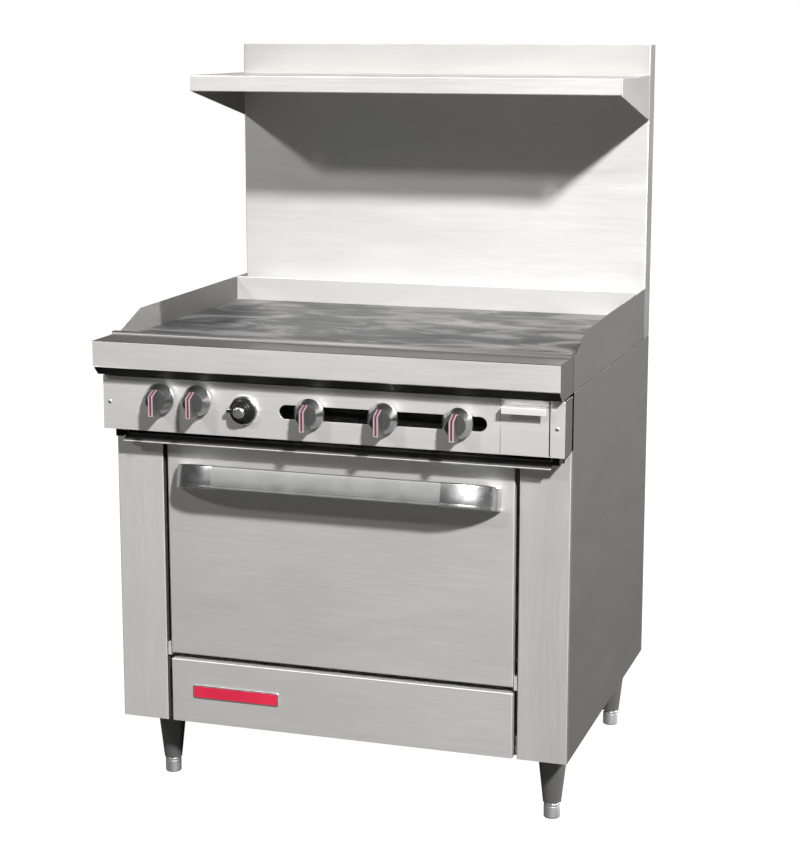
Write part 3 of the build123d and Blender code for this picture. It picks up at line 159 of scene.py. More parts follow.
def make_floor():
    """A plain pale floor that nearly disappears into the white behind the range."""
    corners = [(-1, -1), (1, -1), (1, 1), (-1, 1)]
    mesh = bpy.data.meshes.new("floor")
    places = [(x * FLOOR_HALF, y * FLOOR_HALF, FLOOR_Z) for x, y in corners]
    mesh.from_pydata(places, [], [(0, 1, 2, 3)])
    floor = bpy.data.objects.new("floor", mesh)
    bpy.context.scene.collection.objects.link(floor)
    material = bpy.data.materials.new("pale_floor")
    material.use_nodes = True
    tree = material.node_tree
    tree.nodes.clear()
    output = tree.nodes.new("ShaderNodeOutputMaterial")
    matt = tree.nodes.new("ShaderNodeBsdfDiffuse")
    matt.inputs["Color"].default_value = FLOOR_TONE
    glow = tree.nodes.new("ShaderNodeEmission")
    glow.inputs["Color"].default_value = (1, 1, 1, 1)
    glow.inputs["Strength"].default_value = 1.0
    dim = tree.nodes.new("ShaderNodeEmission")
    dim.inputs["Strength"].default_value = 0.0
    path = tree.nodes.new("ShaderNodeLightPath")
    chosen = tree.nodes.new("ShaderNodeMixShader")
    both = tree.nodes.new("ShaderNodeAddShader")
    tree.links.new(path.outputs["Is Camera Ray"], chosen.inputs["Fac"])
    tree.links.new(dim.outputs["Emission"], chosen.inputs[1])
    tree.links.new(glow.outputs["Emission"], chosen.inputs[2])
    tree.links.new(chosen.outputs["Shader"], both.inputs[0])
    tree.links.new(matt.outputs["BSDF"], both.inputs[1])
    tree.links.new(both.outputs["Shader"], output.inputs["Surface"])
    mesh.materials.append(material)


# ---------------------------------------------------------------- materials
class Surface:
    """One procedural material: noises in the object's own space drive a Principled surface."""

    def __init__(self, name, metallic=0.0, roughness=0.5):
        self.material = bpy.data.materials.new(name)
        self.material.use_nodes = True
        self.tree = self.material.node_tree
        self.shader = self.tree.nodes["Principled BSDF"]
        self.shader.inputs["Metallic"].default_value = metallic
        self.shader.inputs["Roughness"].default_value = roughness
        coords = self.tree.nodes.new("ShaderNodeTexCoord")
        self.place = coords.outputs["Object"]
        self.way = coords.outputs["Normal"]

    def join(self, source, target):
        """Links an output to a socket of the surface, or sets the socket to a plain value."""
        if isinstance(source, bpy.types.NodeSocket):
            self.tree.links.new(source, target)
        else:
            target.default_value = source

    def noise(self, scale, stretch=(1, 1, 1), detail=3.0, rough=0.5, twist=0.0):
        """A noise of that many features to the metre, divided by the stretch on each axis."""
        mapping = self.tree.nodes.new("ShaderNodeMapping")
        mapping.inputs["Scale"].default_value = [scale / s for s in stretch]
        self.tree.links.new(self.place, mapping.inputs["Vector"])
        node = self.tree.nodes.new("ShaderNodeTexNoise")
        node.inputs["Scale"].default_value = 1.0
        node.inputs["Detail"].default_value = detail
        node.inputs["Roughness"].default_value = rough
        node.inputs["Distortion"].default_value = twist
        self.tree.links.new(mapping.outputs["Vector"], node.inputs["Vector"])
        return node.outputs["Fac"]

    def spread(self, value, low, high, start=0.3, end=0.7):
        """Maps a noise's useful stretch to a range of values."""
        node = self.tree.nodes.new("ShaderNodeMapRange")
        node.inputs["From Min"].default_value = start
        node.inputs["From Max"].default_value = end
        node.inputs["To Min"].default_value = low
        node.inputs["To Max"].default_value = high
        self.tree.links.new(value, node.inputs["Value"])
        return node.outputs["Result"]

    def split(self, vector):
        """The X, Y and Z of a vector."""
        node = self.tree.nodes.new("ShaderNodeSeparateXYZ")
        self.tree.links.new(vector, node.inputs["Vector"])
        return node.outputs

    def tint(self, value, *stops):
        """A colour for each value: stops are (place, colour)."""
        node = self.tree.nodes.new("ShaderNodeValToRGB")
        elements = node.color_ramp.elements
        while len(elements) < len(stops):
            elements.new(0.5)
        for element, (place, colour) in zip(elements, stops):
            element.position = place
            element.color = (*colour, 1)
        self.tree.links.new(value, node.inputs["Fac"])
        return node.outputs["Color"]

    def mix(self, factor, first, second, kind="MIX"):
        """Mixes two colours."""
        node = self.tree.nodes.new("ShaderNodeMix")
        node.data_type = "RGBA"
        node.blend_type = kind
        self.join(factor, node.inputs["Factor"])
        for value, socket in ((first, node.inputs["A"]), (second, node.inputs["B"])):
            if isinstance(value, tuple):
                value = (*value, 1)
            self.join(value, socket)
        return node.outputs["Result"]

    def sum(self, first, second, kind="ADD"):
        """Adds two values, or works on them in another way, such as multiplying them."""
        node = self.tree.nodes.new("ShaderNodeMath")
        node.operation = kind
        self.join(first, node.inputs[0])
        self.join(second, node.inputs[1])
        return node.outputs["Value"]

    def finish(self, colour=None, roughness=None, height=None, depth=0.1 * MM):
        """Wires up the surface and returns the material."""
        for value, name in ((colour, "Base Color"), (roughness, "Roughness")):
            if value is not None:
                value = (*value, 1) if isinstance(value, tuple) else value
                self.join(value, self.shader.inputs[name])
        if height is not None:
            bump = self.tree.nodes.new("ShaderNodeBump")
            bump.inputs["Strength"].default_value = 1.0
            bump.inputs["Distance"].default_value = depth
            self.tree.links.new(height, bump.inputs["Height"])
            self.tree.links.new(bump.outputs["Normal"], self.shader.inputs["Normal"])
        return self.material


def grey(value, warm=0.0):
    """A grey, a little warmer or cooler than neutral."""
    return (value * (1 + warm), value, value * (1 - 1.4 * warm))


# How far a streak is drawn out along each axis, the depths between which a sheet's front side
# ends, and the heights above which shade is painted on the fronts of the riser and the rail.
GRAIN = {"X": (60, 1, 1), "Y": (1, 60, 1), "Z": (1, 1, 60)}
FRONT_SIDE = (358 * MM, 360 * MM)
SHELF_TOP = 1442 * MM
RAIL_TOP = 946 * MM


def brushed_steel(
    name, tone, grain, roughness=0.43, metallic=0.85, warm=0.012, painted_shade_above=None, turned=None
):
    """Brushed sheet: fine streaks along the grain, faint clouds and wipe marks over them.

    The last two arguments paint shade. The first is a height and the part of the tone that the
    front keeps above it; the second is the tone of the faces that look sideways and upwards, as
    parts of the tone of the front ones.
    """
    surface = Surface(name, metallic)
    streaks = surface.noise(700, GRAIN[grain], 4, 0.7)
    clouds = surface.noise(3.2, detail=3)
    wipes = surface.noise(11, GRAIN["Z"] if grain == "Z" else (4, 4, 1), 2, 0.5, 0.6)
    cloudy, clear = grey(tone * 0.98, warm), grey(tone * 1.015, warm * 0.4)
    base = surface.tint(clouds, (0.30, cloudy), (0.70, clear))
    streaked = surface.tint(streaks, (0.25, grey(0.93)), (0.75, grey(1.0)))
    colour = surface.mix(1.0, base, streaked, "MULTIPLY")
    # Painted shade: above the height, the front keeps only a part of its tone.
    if painted_shade_above:
        height, part = painted_shade_above
        place = surface.split(surface.place)
        over = surface.spread(place["Z"], 0.0, 0.9, height - 1 * MM, height + 1 * MM)
        front = surface.spread(place["Y"], 1.0, 0.0, *FRONT_SIDE)
        colour = surface.mix(surface.sum(over, front, "MULTIPLY"), colour, grey(tone * part, warm))
    # Painted shade: faces that look sideways or upwards take darker parts of the tone.
    if turned:
        way = surface.split(surface.way)
        sideways = surface.sum(way["X"], 0, "ABSOLUTE")
        sideways = surface.spread(sideways, 0.0, 1.0, 0.45, 0.95)
        upwards = surface.spread(way["Z"], 0.0, 1.0, 0.40, 0.80)
        for share, part in zip((sideways, upwards), turned):
            colour = surface.mix(share, colour, grey(tone * part, warm))
    dulled = surface.spread(wipes, roughness - 0.012, roughness + 0.016)
    rough = surface.sum(dulled, surface.spread(streaks, -0.03, 0.03))
    return surface.finish(colour, rough, streaks, 0.03 * MM)


def galvanised(name, tone):
    """Zinc-coated sheet with its spangle of crystals, and duller where it has been handled."""
    surface = Surface(name, 0.8)
    cells = surface.tree.nodes.new("ShaderNodeTexVoronoi")
    cells.inputs["Scale"].default_value = 90
    surface.tree.links.new(surface.place, cells.inputs["Vector"])
    dim, bright = grey(tone * 0.86), grey(tone * 1.08)
    spangle = surface.tint(cells.outputs["Color"], (0.2, dim), (0.8, bright))
    stains = surface.noise(6, detail=5)
    colour = surface.mix(surface.spread(stains, 0.0, 0.35), spangle, grey(tone * 0.7, 0.03))
    return surface.finish(colour, surface.spread(stains, 0.42, 0.6), stains, 0.02 * MM)


def painted(name, colour, roughness=0.55, speck=None, worn=None, gloss=0.5):
    """Enamel with a faint orange peel, and optionally pale specks or a worn tone in patches."""
    surface = Surface(name, 0.0)
    surface.shader.inputs["Specular IOR Level"].default_value = gloss
    peel = surface.noise(420, detail=2)
    clouds = surface.noise(8, detail=4)
    shade = surface.mix(surface.spread(clouds, 0.0, 1.0), tuple(c * 0.8 for c in colour), colour)
    if worn:
        scuffs = surface.noise(45, (1, 1, 1), 6, 0.7)
        shade = surface.mix(surface.spread(scuffs, 0.0, 0.8, 0.58, 0.72), shade, worn)
    if speck:
        dots = surface.noise(900, detail=0)
        shade = surface.mix(surface.spread(dots, 0.0, 0.8, 0.70, 0.74), shade, speck)
    rough = surface.spread(clouds, roughness - 0.06, roughness + 0.08)
    return surface.finish(shade, rough, peel, 0.03 * MM)


def satin_metal(name, tone, roughness, warm=-0.01, metallic=1.0, grain=None):
    """Plated or polished metal with hairlines and a few fingerprints."""
    surface = Surface(name, metallic)
    hairs = surface.noise(900, GRAIN[grain] if grain else (1, 1, 1), 3, 0.6)
    prints = surface.noise(24, detail=4, twist=0.5)
    colour = surface.tint(prints, (0.3, grey(tone * 0.95, warm)), (0.7, grey(tone * 1.02, warm)))
    rough = surface.sum(
        surface.spread(prints, roughness - 0.03, roughness + 0.05),
        surface.spread(hairs, -0.02, 0.02),
    )
    return surface.finish(colour, rough, hairs, 0.012 * MM)


def griddle_steel():
    """Ground plate, burnished and scorched into long wavy smears from side to side."""
    surface = Surface("griddle_plate_steel", 0.45)
    smears = surface.noise(10, (2.1, 1, 1), 4, 0.58, 1.5)
    patches = surface.noise(3.0, (2.2, 1, 1), 2, 0.5, 0.8)
    grind = surface.noise(800, GRAIN["X"], 3, 0.6)
    smears = surface.sum(smears, 0.62, "MULTIPLY")
    mixed = surface.sum(smears, surface.sum(patches, 0.38, "MULTIPLY"))
    colour = surface.tint(
        mixed,
        (0.40, (0.022, 0.022, 0.024)),
        (0.475, (0.034, 0.034, 0.036)),
        (0.51, (0.074, 0.074, 0.076)),
        (0.60, (0.124, 0.124, 0.126)),
    )
    scratches = surface.tint(grind, (0.3, grey(0.93)), (0.7, grey(1.0)))
    streaked = surface.mix(1.0, colour, scratches, "MULTIPLY")
    return surface.finish(streaked, surface.spread(mixed, 0.62, 0.46, 0.35, 0.65), grind, 0.03 * MM)


def cast_metal(name, tone, metallic=0.3, warm=0.0, grit=260):
    """A sand casting: grainy, with darker pores and rubbed high spots."""
    surface = Surface(name, metallic)
    grain = surface.noise(grit, detail=5, rough=0.65)
    clouds = surface.noise(20, detail=3)
    pores, skin, rubbed = (grey(tone * part, warm) for part in (0.55, 1.0, 1.5))
    colour = surface.tint(grain, (0.32, pores), (0.62, skin), (0.8, rubbed))
    shaded = surface.mix(surface.spread(clouds, 0.0, 0.4), colour, grey(tone * 0.6, warm))
    return surface.finish(shaded, surface.spread(grain, 0.78, 0.52), grain, 0.25 * MM)


def woven(name, colour, threads=320):
    """A coarse woven or matted fibre."""
    surface = Surface(name, 0.0, 0.9)
    fibre = surface.noise(threads, (3, 1, 1), 4, 0.7, 0.8)
    crossing = surface.noise(threads, (1, 1, 3), 4, 0.7, 0.8)
    fibre = surface.sum(fibre, 0.5, "MULTIPLY")
    tangle = surface.sum(fibre, surface.sum(crossing, 0.5, "MULTIPLY"))
    dark = tuple(c * 0.55 for c in colour)
    shade = surface.tint(tangle, (0.35, dark), (0.62, colour))
    return surface.finish(shade, surface.spread(tangle, 0.95, 0.8), tangle, 0.6 * MM)


# The brushed steels are one steel in lit and shaded copies: each part's tone is set to the light it
# gets, painted light on the riser and shelf, painted shade on the door, stiles, kick, sides and
# cheeks.
MATERIALS = {
    "front_steel": brushed_steel("front_steel", 0.70, "X", turned=(0.11, 0.20)),
    # Painted light: the tab's steel is brighter than the panel's.
    "tab_steel_painted_light": brushed_steel("tab_steel_painted_light", 0.90, "X"),
    "rail_steel": brushed_steel("rail_steel", 0.70, "X", painted_shade_above=(RAIL_TOP, 0.2), turned=(0.11, 0.17)),
    "door_steel": brushed_steel("door_steel", 0.60, "X"),
    "kick_steel": brushed_steel("kick_steel", 0.63, "X"),
    # Painted shade: the cheeks' steel is darkened for the light it misses.
    "cheek_steel_painted_shade": brushed_steel("cheek_steel_painted_shade", 0.085, "Y", 0.50),
    "stile_steel": brushed_steel("stile_steel", 0.58, "Z", turned=(0.22, 1.0)),
    # Painted shade: the sides' steel is darkened for the light it misses.
    "side_steel_painted_shade": brushed_steel("side_steel_painted_shade", 0.068, "Y", 0.53),
    "upright_steel": brushed_steel("upright_steel", 0.70, "Z", turned=(0.18, 1.0)),
    "shelf_steel": brushed_steel("shelf_steel", 0.74, "X", turned=(0.30, 0.6)),
    "riser_steel": brushed_steel(
        "riser_steel", 0.80, "X", painted_shade_above=(SHELF_TOP, 0.60), turned=(0.20, 1.0)
    ),
    "galvanised_sheet": galvanised("galvanised_sheet", 0.52),
    # Black enamel, also used as painted shade on the rail's underside and in the screws' crosses.
    "black_enamel_and_painted_shade": painted(
        "black_enamel_and_painted_shade", (0.007, 0.007, 0.006), 0.6, worn=(0.014, 0.014, 0.013), gloss=0.12
    ),
    "griddle_plate_steel": griddle_steel(),
    "knob_metal": satin_metal("knob_metal", 0.46, 0.30),
    "knob_face": satin_metal("knob_face", 0.050, 0.46, metallic=0.5, grain="Z"),
    "knob_ridge": satin_metal("knob_ridge", 0.44, 0.42, metallic=0.7),
    "knob_line": painted("knob_line", (0.10, 0.004, 0.018), 0.5),
    "handle_chrome": satin_metal("handle_chrome", 0.25, 0.42, -0.004, 0.9, "X"),
    "cap_chrome": satin_metal("cap_chrome", 0.62, 0.24, -0.01),
    "bright_chrome": satin_metal("bright_chrome", 0.80, 0.22),
    "black_plastic": painted("black_plastic", (0.006, 0.006, 0.006), 0.30, gloss=0.16),
    "cast_iron": cast_metal("cast_iron", 0.07),
    "brass": cast_metal("brass", 0.50, 0.9, 0.38, 420),
    "die_casting": cast_metal("die_casting", 0.42, 0.8, 0.0, 500),
    "black_pipe": painted("black_pipe", (0.030, 0.029, 0.028), 0.5, worn=(0.10, 0.09, 0.08)),
    "drawn_tube": satin_metal("drawn_tube", 0.70, 0.34),
    "oven_enamel": painted("oven_enamel", (0.018, 0.021, 0.032), 0.26, speck=(0.42, 0.44, 0.48)),
    "mineral_wool": woven("mineral_wool", (0.32, 0.29, 0.21)),
    "gasket_rope": woven("gasket_rope", (0.16, 0.16, 0.155), 700),
    "plated_steel": satin_metal("plated_steel", 0.50, 0.40, 0.02),
    # Painted shade: the legs' steel is darkened for the shadow the body casts on them.
    "leg_steel_painted_shade": brushed_steel("leg_steel_painted_shade", 0.20, "Z", 0.36, 0.85),
    "foot_steel": satin_metal("foot_steel", 0.80, 0.40),
    "plate_enamel": painted("plate_enamel", (0.30, 0.010, 0.030), 0.34),
}


# ---------------------------------------------------------------- mesh helpers
def new_piece(name, shape):
    """An object from a bmesh, which is used up."""
    mesh = bpy.data.meshes.new(name)
    bmesh.ops.recalc_face_normals(shape, faces=shape.faces)
    shape.to_mesh(mesh)
    shape.free()
    piece = bpy.data.objects.new(name, mesh)
    bpy.context.scene.collection.objects.link(piece)
    return piece


def smooth(piece, angle=32, flat_width=None):
    """Shades a piece smooth, with its sharp edges kept and its flat faces left flat.

    Faces broader than flat_width are cut off from their neighbours' shading altogether.
    """
    mesh = piece.data
    mesh.shade_smooth()
    mesh.set_sharp_from_angle(angle=math.radians(angle))
    if flat_width:
        edges = {tuple(sorted(edge.vertices)): edge for edge in mesh.edges}
        for face in mesh.polygons:
            ends = [(mesh.vertices[a].co, mesh.vertices[b].co) for a, b in face.edge_keys]
            if face.area > flat_width * max((a - b).length for a, b in ends):
                for key in face.edge_keys:
                    edges[tuple(sorted(key))].use_edge_sharp = True
    keep_flat = piece.modifiers.new("weighted_normals", "WEIGHTED_NORMAL")
    keep_flat.keep_sharp = True
    return piece


def dress(piece, node, *materials):
    """Gives a piece its materials, and lets it ride with and stand for a CAD node."""
    for material in materials:
        piece.data.materials.append(MATERIALS[material])
    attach(piece, BODY_OF[node])
    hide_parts(node)
    return piece


def broad(face):
    """A face's width across its longest edge."""
    return face.calc_area() / max(edge.calc_length() for edge in face.edges)


def round_edges(shape, width, least_angle, wanted=lambda edge: True, segments=2):
    """Rounds a bmesh's outward edges that are sharper than an angle."""
    edges = [
        edge
        for edge in shape.edges
        if len(edge.link_faces) == 2
        and edge.is_convex
        and edge.calc_face_angle(0) > math.radians(least_angle)
        and wanted(edge)
    ]
    if edges:
        bmesh.ops.bevel(
            shape,
            geom=edges,
            offset=width,
            segments=segments,
            profile=0.5,
            affect="EDGES",
            clamp_overlap=True,
        )


def sheet_metal(node, material, fold=2.0 * MM, edge=0.35 * MM, broad_face=7 * MM):
    """A CAD node's own shape as folded sheet: its bends rounded and its cut edges eased."""
    shape = bmesh.new()
    shape.from_mesh(frame["nodes"][node].data)
    bmesh.ops.remove_doubles(shape, verts=shape.verts, dist=1e-6)
    bmesh.ops.dissolve_limit(
        shape,
        angle_limit=math.radians(0.5),
        verts=shape.verts,
        edges=shape.edges,
        delimit={"NORMAL"},
    )
    if fold:
        bends = lambda e: all(broad(face) > broad_face for face in e.link_faces)
        round_edges(shape, fold, 20, bends, 4)
    if edge:
        round_edges(shape, edge, 40)
    piece = smooth(new_piece(f"{node}_sheet", shape), flat_width=broad_face)
    return dress(piece, node, material)


def finish_cad(node, material):
    """A CAD node whose shape is right stays, with a better material."""
    mesh = frame["nodes"][node].data
    mesh.materials.clear()
    mesh.materials.append(MATERIALS[material])


# Each axis with the two directions across it: across, up and along.
AXES = {
    "X": (Vector((0, 1, 0)), Vector((0, 0, 1)), Vector((1, 0, 0))),
    "Y": (Vector((1, 0, 0)), Vector((0, 0, 1)), Vector((0, 1, 0))),
    "Z": (Vector((1, 0, 0)), Vector((0, 1, 0)), Vector((0, 0, 1))),
}


def centre_of(node):
    """The middle of a CAD node's box, then its lowest and highest corners."""
    low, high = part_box(node)
    return (low + high) / 2, low, high


def join_rings(shape, first, second, material=0):
    """Faces between one ring of vertices and the next; a ring of one vertex is a pole."""
    for i in range(max(len(first), len(second))):
        j = (i + 1) % max(len(first), len(second))
        if len(first) == 1:
            corners = (first[0], second[j], second[i])
        elif len(second) == 1:
            corners = (first[i], first[j], second[0])
        else:
            corners = (first[i], first[j], second[j], second[i])
        shape.faces.new(corners).material_index = material


def lathe(shape, start, axis, profile, steps=64):
    """A turned form. The profile is (radius, distance along the axis, material) in millimetres."""
    across, up, along = AXES[axis]
    rings = []
    for radius, distance, _ in profile:
        base = start + along * distance * MM
        turns = [2 * math.pi * i / steps for i in range(steps if radius else 1)]
        rings.append(
            [
                shape.verts.new(base + (across * math.cos(t) + up * math.sin(t)) * radius * MM)
                for t in turns
            ]
        )
    for first, second, (_, _, material) in zip(rings, rings[1:], profile):
        join_rings(shape, first, second, material)


def prism(shape, axis, outline, low, high, material=0, cap=None):
    """A straight bar: an outline of (across, up) points in metres, drawn out along an axis."""
    across, up, along = AXES[axis]
    ends = [
        [shape.verts.new(across * a + up * u + along * place) for a, u in outline]
        for place in (low, high)
    ]
    join_rings(shape, *ends, material)
    for end in ends:
        shape.faces.new(end).material_index = material if cap is None else cap


def brick(shape, low, high, material=0):
    """A box between two corners."""
    outline = [(low[0], low[1]), (high[0], low[1]), (high[0], high[1]), (low[0], high[1])]
    prism(shape, "Z", outline, low[2], high[2], material)


def tube(shape, path, radius, steps=12, material=0):
    """A round wire along a path of points, closed at both ends."""
    rings = []
    side = None
    for i, point in enumerate(path):
        heading = (path[min(i + 1, len(path) - 1)] - path[max(i - 1, 0)]).normalized()
        if side is None:
            side = heading.orthogonal().normalized()
        side = (side - heading * side.dot(heading)).normalized()
        other = heading.cross(side)
        turns = [2 * math.pi * k / steps for k in range(steps)]
        arms = [side * math.cos(t) + other * math.sin(t) for t in turns]
        rings.append([shape.verts.new(point + arm * radius) for arm in arms])
    for first, second in zip(rings, rings[1:]):
        join_rings(shape, first, second, material)
    for end in (rings[0], rings[-1]):
        shape.faces.new(end).material_index = material


def merge(shape, part, edge=0.0, least_angle=30, segments=2):
    """Eases a part's edges and adds it to a shape."""
    bmesh.ops.recalc_face_normals(part, faces=part.faces)
    if edge:
        round_edges(part, edge, least_angle, segments=segments)
    mesh = bpy.data.meshes.new("part")
    part.to_mesh(mesh)
    part.free()
    shape.from_mesh(mesh)
    bpy.data.meshes.remove(mesh)


def rounded_rectangle(centre, size, corner, steps=6):
    """An outline of a rectangle with round corners, as (across, up) points."""
    points = []
    for turn, (sx, sy) in enumerate(((1, 1), (-1, 1), (-1, -1), (1, -1))):
        across = centre[0] + sx * (size[0] / 2 - corner)
        up = centre[1] + sy * (size[1] / 2 - corner)
        for i in range(steps + 1):
            angle = math.pi / 2 * (turn + i / steps)
            points.append((across + corner * math.cos(angle), up + corner * math.sin(angle)))
    return points


# ---------------------------------------------------------------- stage
make_camera()
make_world()
make_floor()
for key in KEYS:
    make_key(*key)
bpy.context.scene.view_settings.view_transform = "Standard"


# ---------------------------------------------------------------- sheet metal
# Each sheet's material and the radius of its bends, which is 0 for the flat plate.
SHEETS = {
    "front_rail": ("rail_steel", 2.0 * MM),
    "left_front_stile": ("upright_steel", 2.2 * MM),
    "right_front_stile": ("stile_steel", 2.2 * MM),
    "left_side_panel": ("side_steel_painted_shade", 1.0 * MM),
    "right_side_panel": ("side_steel_painted_shade", 1.0 * MM),
    "left_cheek": ("cheek_steel_painted_shade", 0.6 * MM),
    "right_cheek": ("side_steel_painted_shade", 0.6 * MM),
    "back_splash": ("shelf_steel", 1.5 * MM),
    "flue_riser": ("riser_steel", 2.0 * MM),
    "high_shelf": ("shelf_steel", 2.0 * MM),
    "shelf_brackets": ("shelf_steel", 0.6 * MM),
    "door_outer_skin": ("door_steel", 2.2 * MM),
    "kick_panel": ("kick_steel", 2.0 * MM),
    "grease_drawer": ("front_steel", 1.2 * MM),
    "crumb_tray": ("front_steel", 1.0 * MM),
    "griddle_plate": ("griddle_plate_steel", 0),
    "grease_trough": ("front_steel", 1.0 * MM),
    "rear_panel": ("galvanised_sheet", 0.4 * MM),
    "base_frame": ("galvanised_sheet", 1.5 * MM),
    "burner_box": ("galvanised_sheet", 1.5 * MM),
    "flue_duct": ("galvanised_sheet", 1.0 * MM),
    "door_inner_panel": ("galvanised_sheet", 2.0 * MM),
    "oven_front_frame": ("galvanised_sheet", 0.8 * MM),
    "tray_runners": ("black_enamel_and_painted_shade", 0.8 * MM),
    # Painted shade: the rail's steel underside is given black enamel.
    "rail_underside": ("black_enamel_and_painted_shade", 0.6 * MM),
    "oven_liner": ("oven_enamel", 2.0 * MM),
    "oven_deck": ("oven_enamel", 1.0 * MM),
}
for node, (material, fold) in SHEETS.items():
    sheet_metal(node, material, fold)


# A face of the drawer that lies this far before the panel belongs to the tab.
TAB_GAP = 1.0 * MM


def paint_light_on_tab():
    """Paints light on the grease drawer's finger tab, which stands out from the panel: brighter
    steel.
    """
    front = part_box("control_panel")[0].y
    piece = bpy.data.objects["grease_drawer_sheet"]
    piece.data.materials.append(MATERIALS["tab_steel_painted_light"])
    for face in piece.data.polygons:
        if face.center.y < front - TAB_GAP:
            face.material_index = len(piece.data.materials) - 1


paint_light_on_tab()


# ---------------------------------------------------------------- control panel
# The griddle valves' slot, its height over the igniter's axis, the two round holes, the gaps on
# either side of the grease drawer, the sheet's thickness and its flanges.
SLOT_ENDS = (-94.0 * MM, 316.0 * MM)
SLOT_HALF = 13.7 * MM
SLOT_RISE = 1.1 * MM
STEM_HOLE = 8 * MM
IGNITER_HOLE = 15 * MM
DRAWER_GAPS = (0.6 * MM, 2.0 * MM)
SHEET = 1.5 * MM
FLANGE_DEPTH = 51 * MM
FLANGE_FRONT = 0.7 * MM
FLANGE_INSET = 0.2 * MM
# A knob's radius in millimetres: its axis is that far below and to the left of its box's corner.
KNOB_R = 29.7


def arc(centre, radius, start, end, steps):
    """Points on an arc, as (across, up) in metres, between two angles in degrees."""
    turns = [math.radians(start + (end - start) * i / steps) for i in range(steps + 1)]
    return [(centre[0] + radius * math.cos(t), centre[1] + radius * math.sin(t)) for t in turns]


def flat_sheet(shape, outlines, front, ease=0.6 * MM):
    """A sheet facing the front, cut to outlines of (across, up) points; those inside are holes."""
    curve = bpy.data.curves.new("outline", "CURVE")
    curve.dimensions = "2D"
    curve.fill_mode = "BOTH"
    curve.bevel_depth = ease
    curve.bevel_resolution = 2
    curve.offset = -ease
    curve.extrude = SHEET / 2 - ease
    for outline in outlines:
        spline = curve.splines.new("POLY")
        spline.points.add(len(outline) - 1)
        for point, (across, up) in zip(spline.points, outline):
            point.co = (across, up, 0, 1)
        spline.use_cyclic_u = True
    holder = bpy.data.objects.new("outline", curve)
    bpy.context.scene.collection.objects.link(holder)
    bpy.context.view_layer.update()
    mesh = bpy.data.meshes.new_from_object(holder)
    bpy.data.objects.remove(holder)
    turn = Matrix(((1, 0, 0, 0), (0, 0, -1, front + SHEET / 2), (0, 1, 0, 0), (0, 0, 0, 1)))
    mesh.transform(turn)
    part = bmesh.new()
    part.from_mesh(mesh)
    bpy.data.meshes.remove(mesh)
    bmesh.ops.remove_doubles(part, verts=part.verts, dist=1e-6)
    merge(shape, part)


def rectangle(low_x, high_x, low_z, high_z):
    """Four corners as (across, up) points."""
    return [(low_x, low_z), (high_x, low_z), (high_x, high_z), (low_x, high_z)]


def control_panel():
    """The folded panel: its face cut for the stems, the igniter, the valve slot and the drawer."""
    _, low, high = centre_of("control_panel")
    drawer_low, drawer_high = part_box("grease_drawer")
    igniter_at = centre_of("igniter_button")[0]
    slot_z = igniter_at.z + SLOT_RISE
    slot_left, slot_right = SLOT_ENDS
    opening = drawer_low.x - DRAWER_GAPS[0]
    strip = drawer_high.x + DRAWER_GAPS[1]
    face = rectangle(low.x, opening, low.z, high.z)
    slot = arc((slot_right - SLOT_HALF, slot_z), SLOT_HALF, -90, 90, 16)
    slot += arc((slot_left + SLOT_HALF, slot_z), SLOT_HALF, 90, 270, 16)
    holes = [slot, arc((igniter_at.x, igniter_at.z), IGNITER_HOLE, 0, 350, 35)]
    for node in ("thermostat_knob", "oven_valve_knob"):
        knob_high = centre_of(node)[2]
        stem_at = (knob_high.x - KNOB_R * MM, knob_high.z - KNOB_R * MM)
        holes.append(arc(stem_at, STEM_HOLE, 0, 345, 23))
    shape = bmesh.new()
    flat_sheet(shape, [face] + holes, low.y)
    flat_sheet(shape, [rectangle(strip, high.x, low.z, high.z)], low.y)
    start, back, inset = low.y + FLANGE_FRONT, low.y + FLANGE_DEPTH, FLANGE_INSET
    for z in (low.z, high.z - SHEET):
        part = bmesh.new()
        brick(part, (low.x + inset, start, z), (high.x - inset, back, z + SHEET))
        merge(shape, part, 0.3 * MM)
    for x in (low.x, high.x - SHEET):
        part = bmesh.new()
        brick(part, (x, start, low.z + inset), (x + SHEET, high.y, high.z - inset))
        merge(shape, part, 0.3 * MM)
    piece = smooth(new_piece("control_panel_folded", shape), 40)
    return dress(piece, "control_panel", "front_steel")


control_panel()


# ---------------------------------------------------------------- knobs
KNOBS = (
    "thermostat_knob",
    "oven_valve_knob",
    "griddle_knob_1",
    "griddle_knob_2",
    "griddle_knob_3",
)
# Millimetres: the whole depth, then depths from the back of the skirt, negative to the front, and
# radii, half widths and heights from the knob's axis.
KNOB_DEPTH = 47.0
KNOB_SKIRT = -7.0
KNOB_FACE = -25.0
FACE_R = 21.5
GRIP_HALF = 5.4
GRIP_TAIL = -28.6
GRIP_BEND = 11.0
LINE_HALF = 2.1
LINE_TAIL = GRIP_TAIL + 2.6


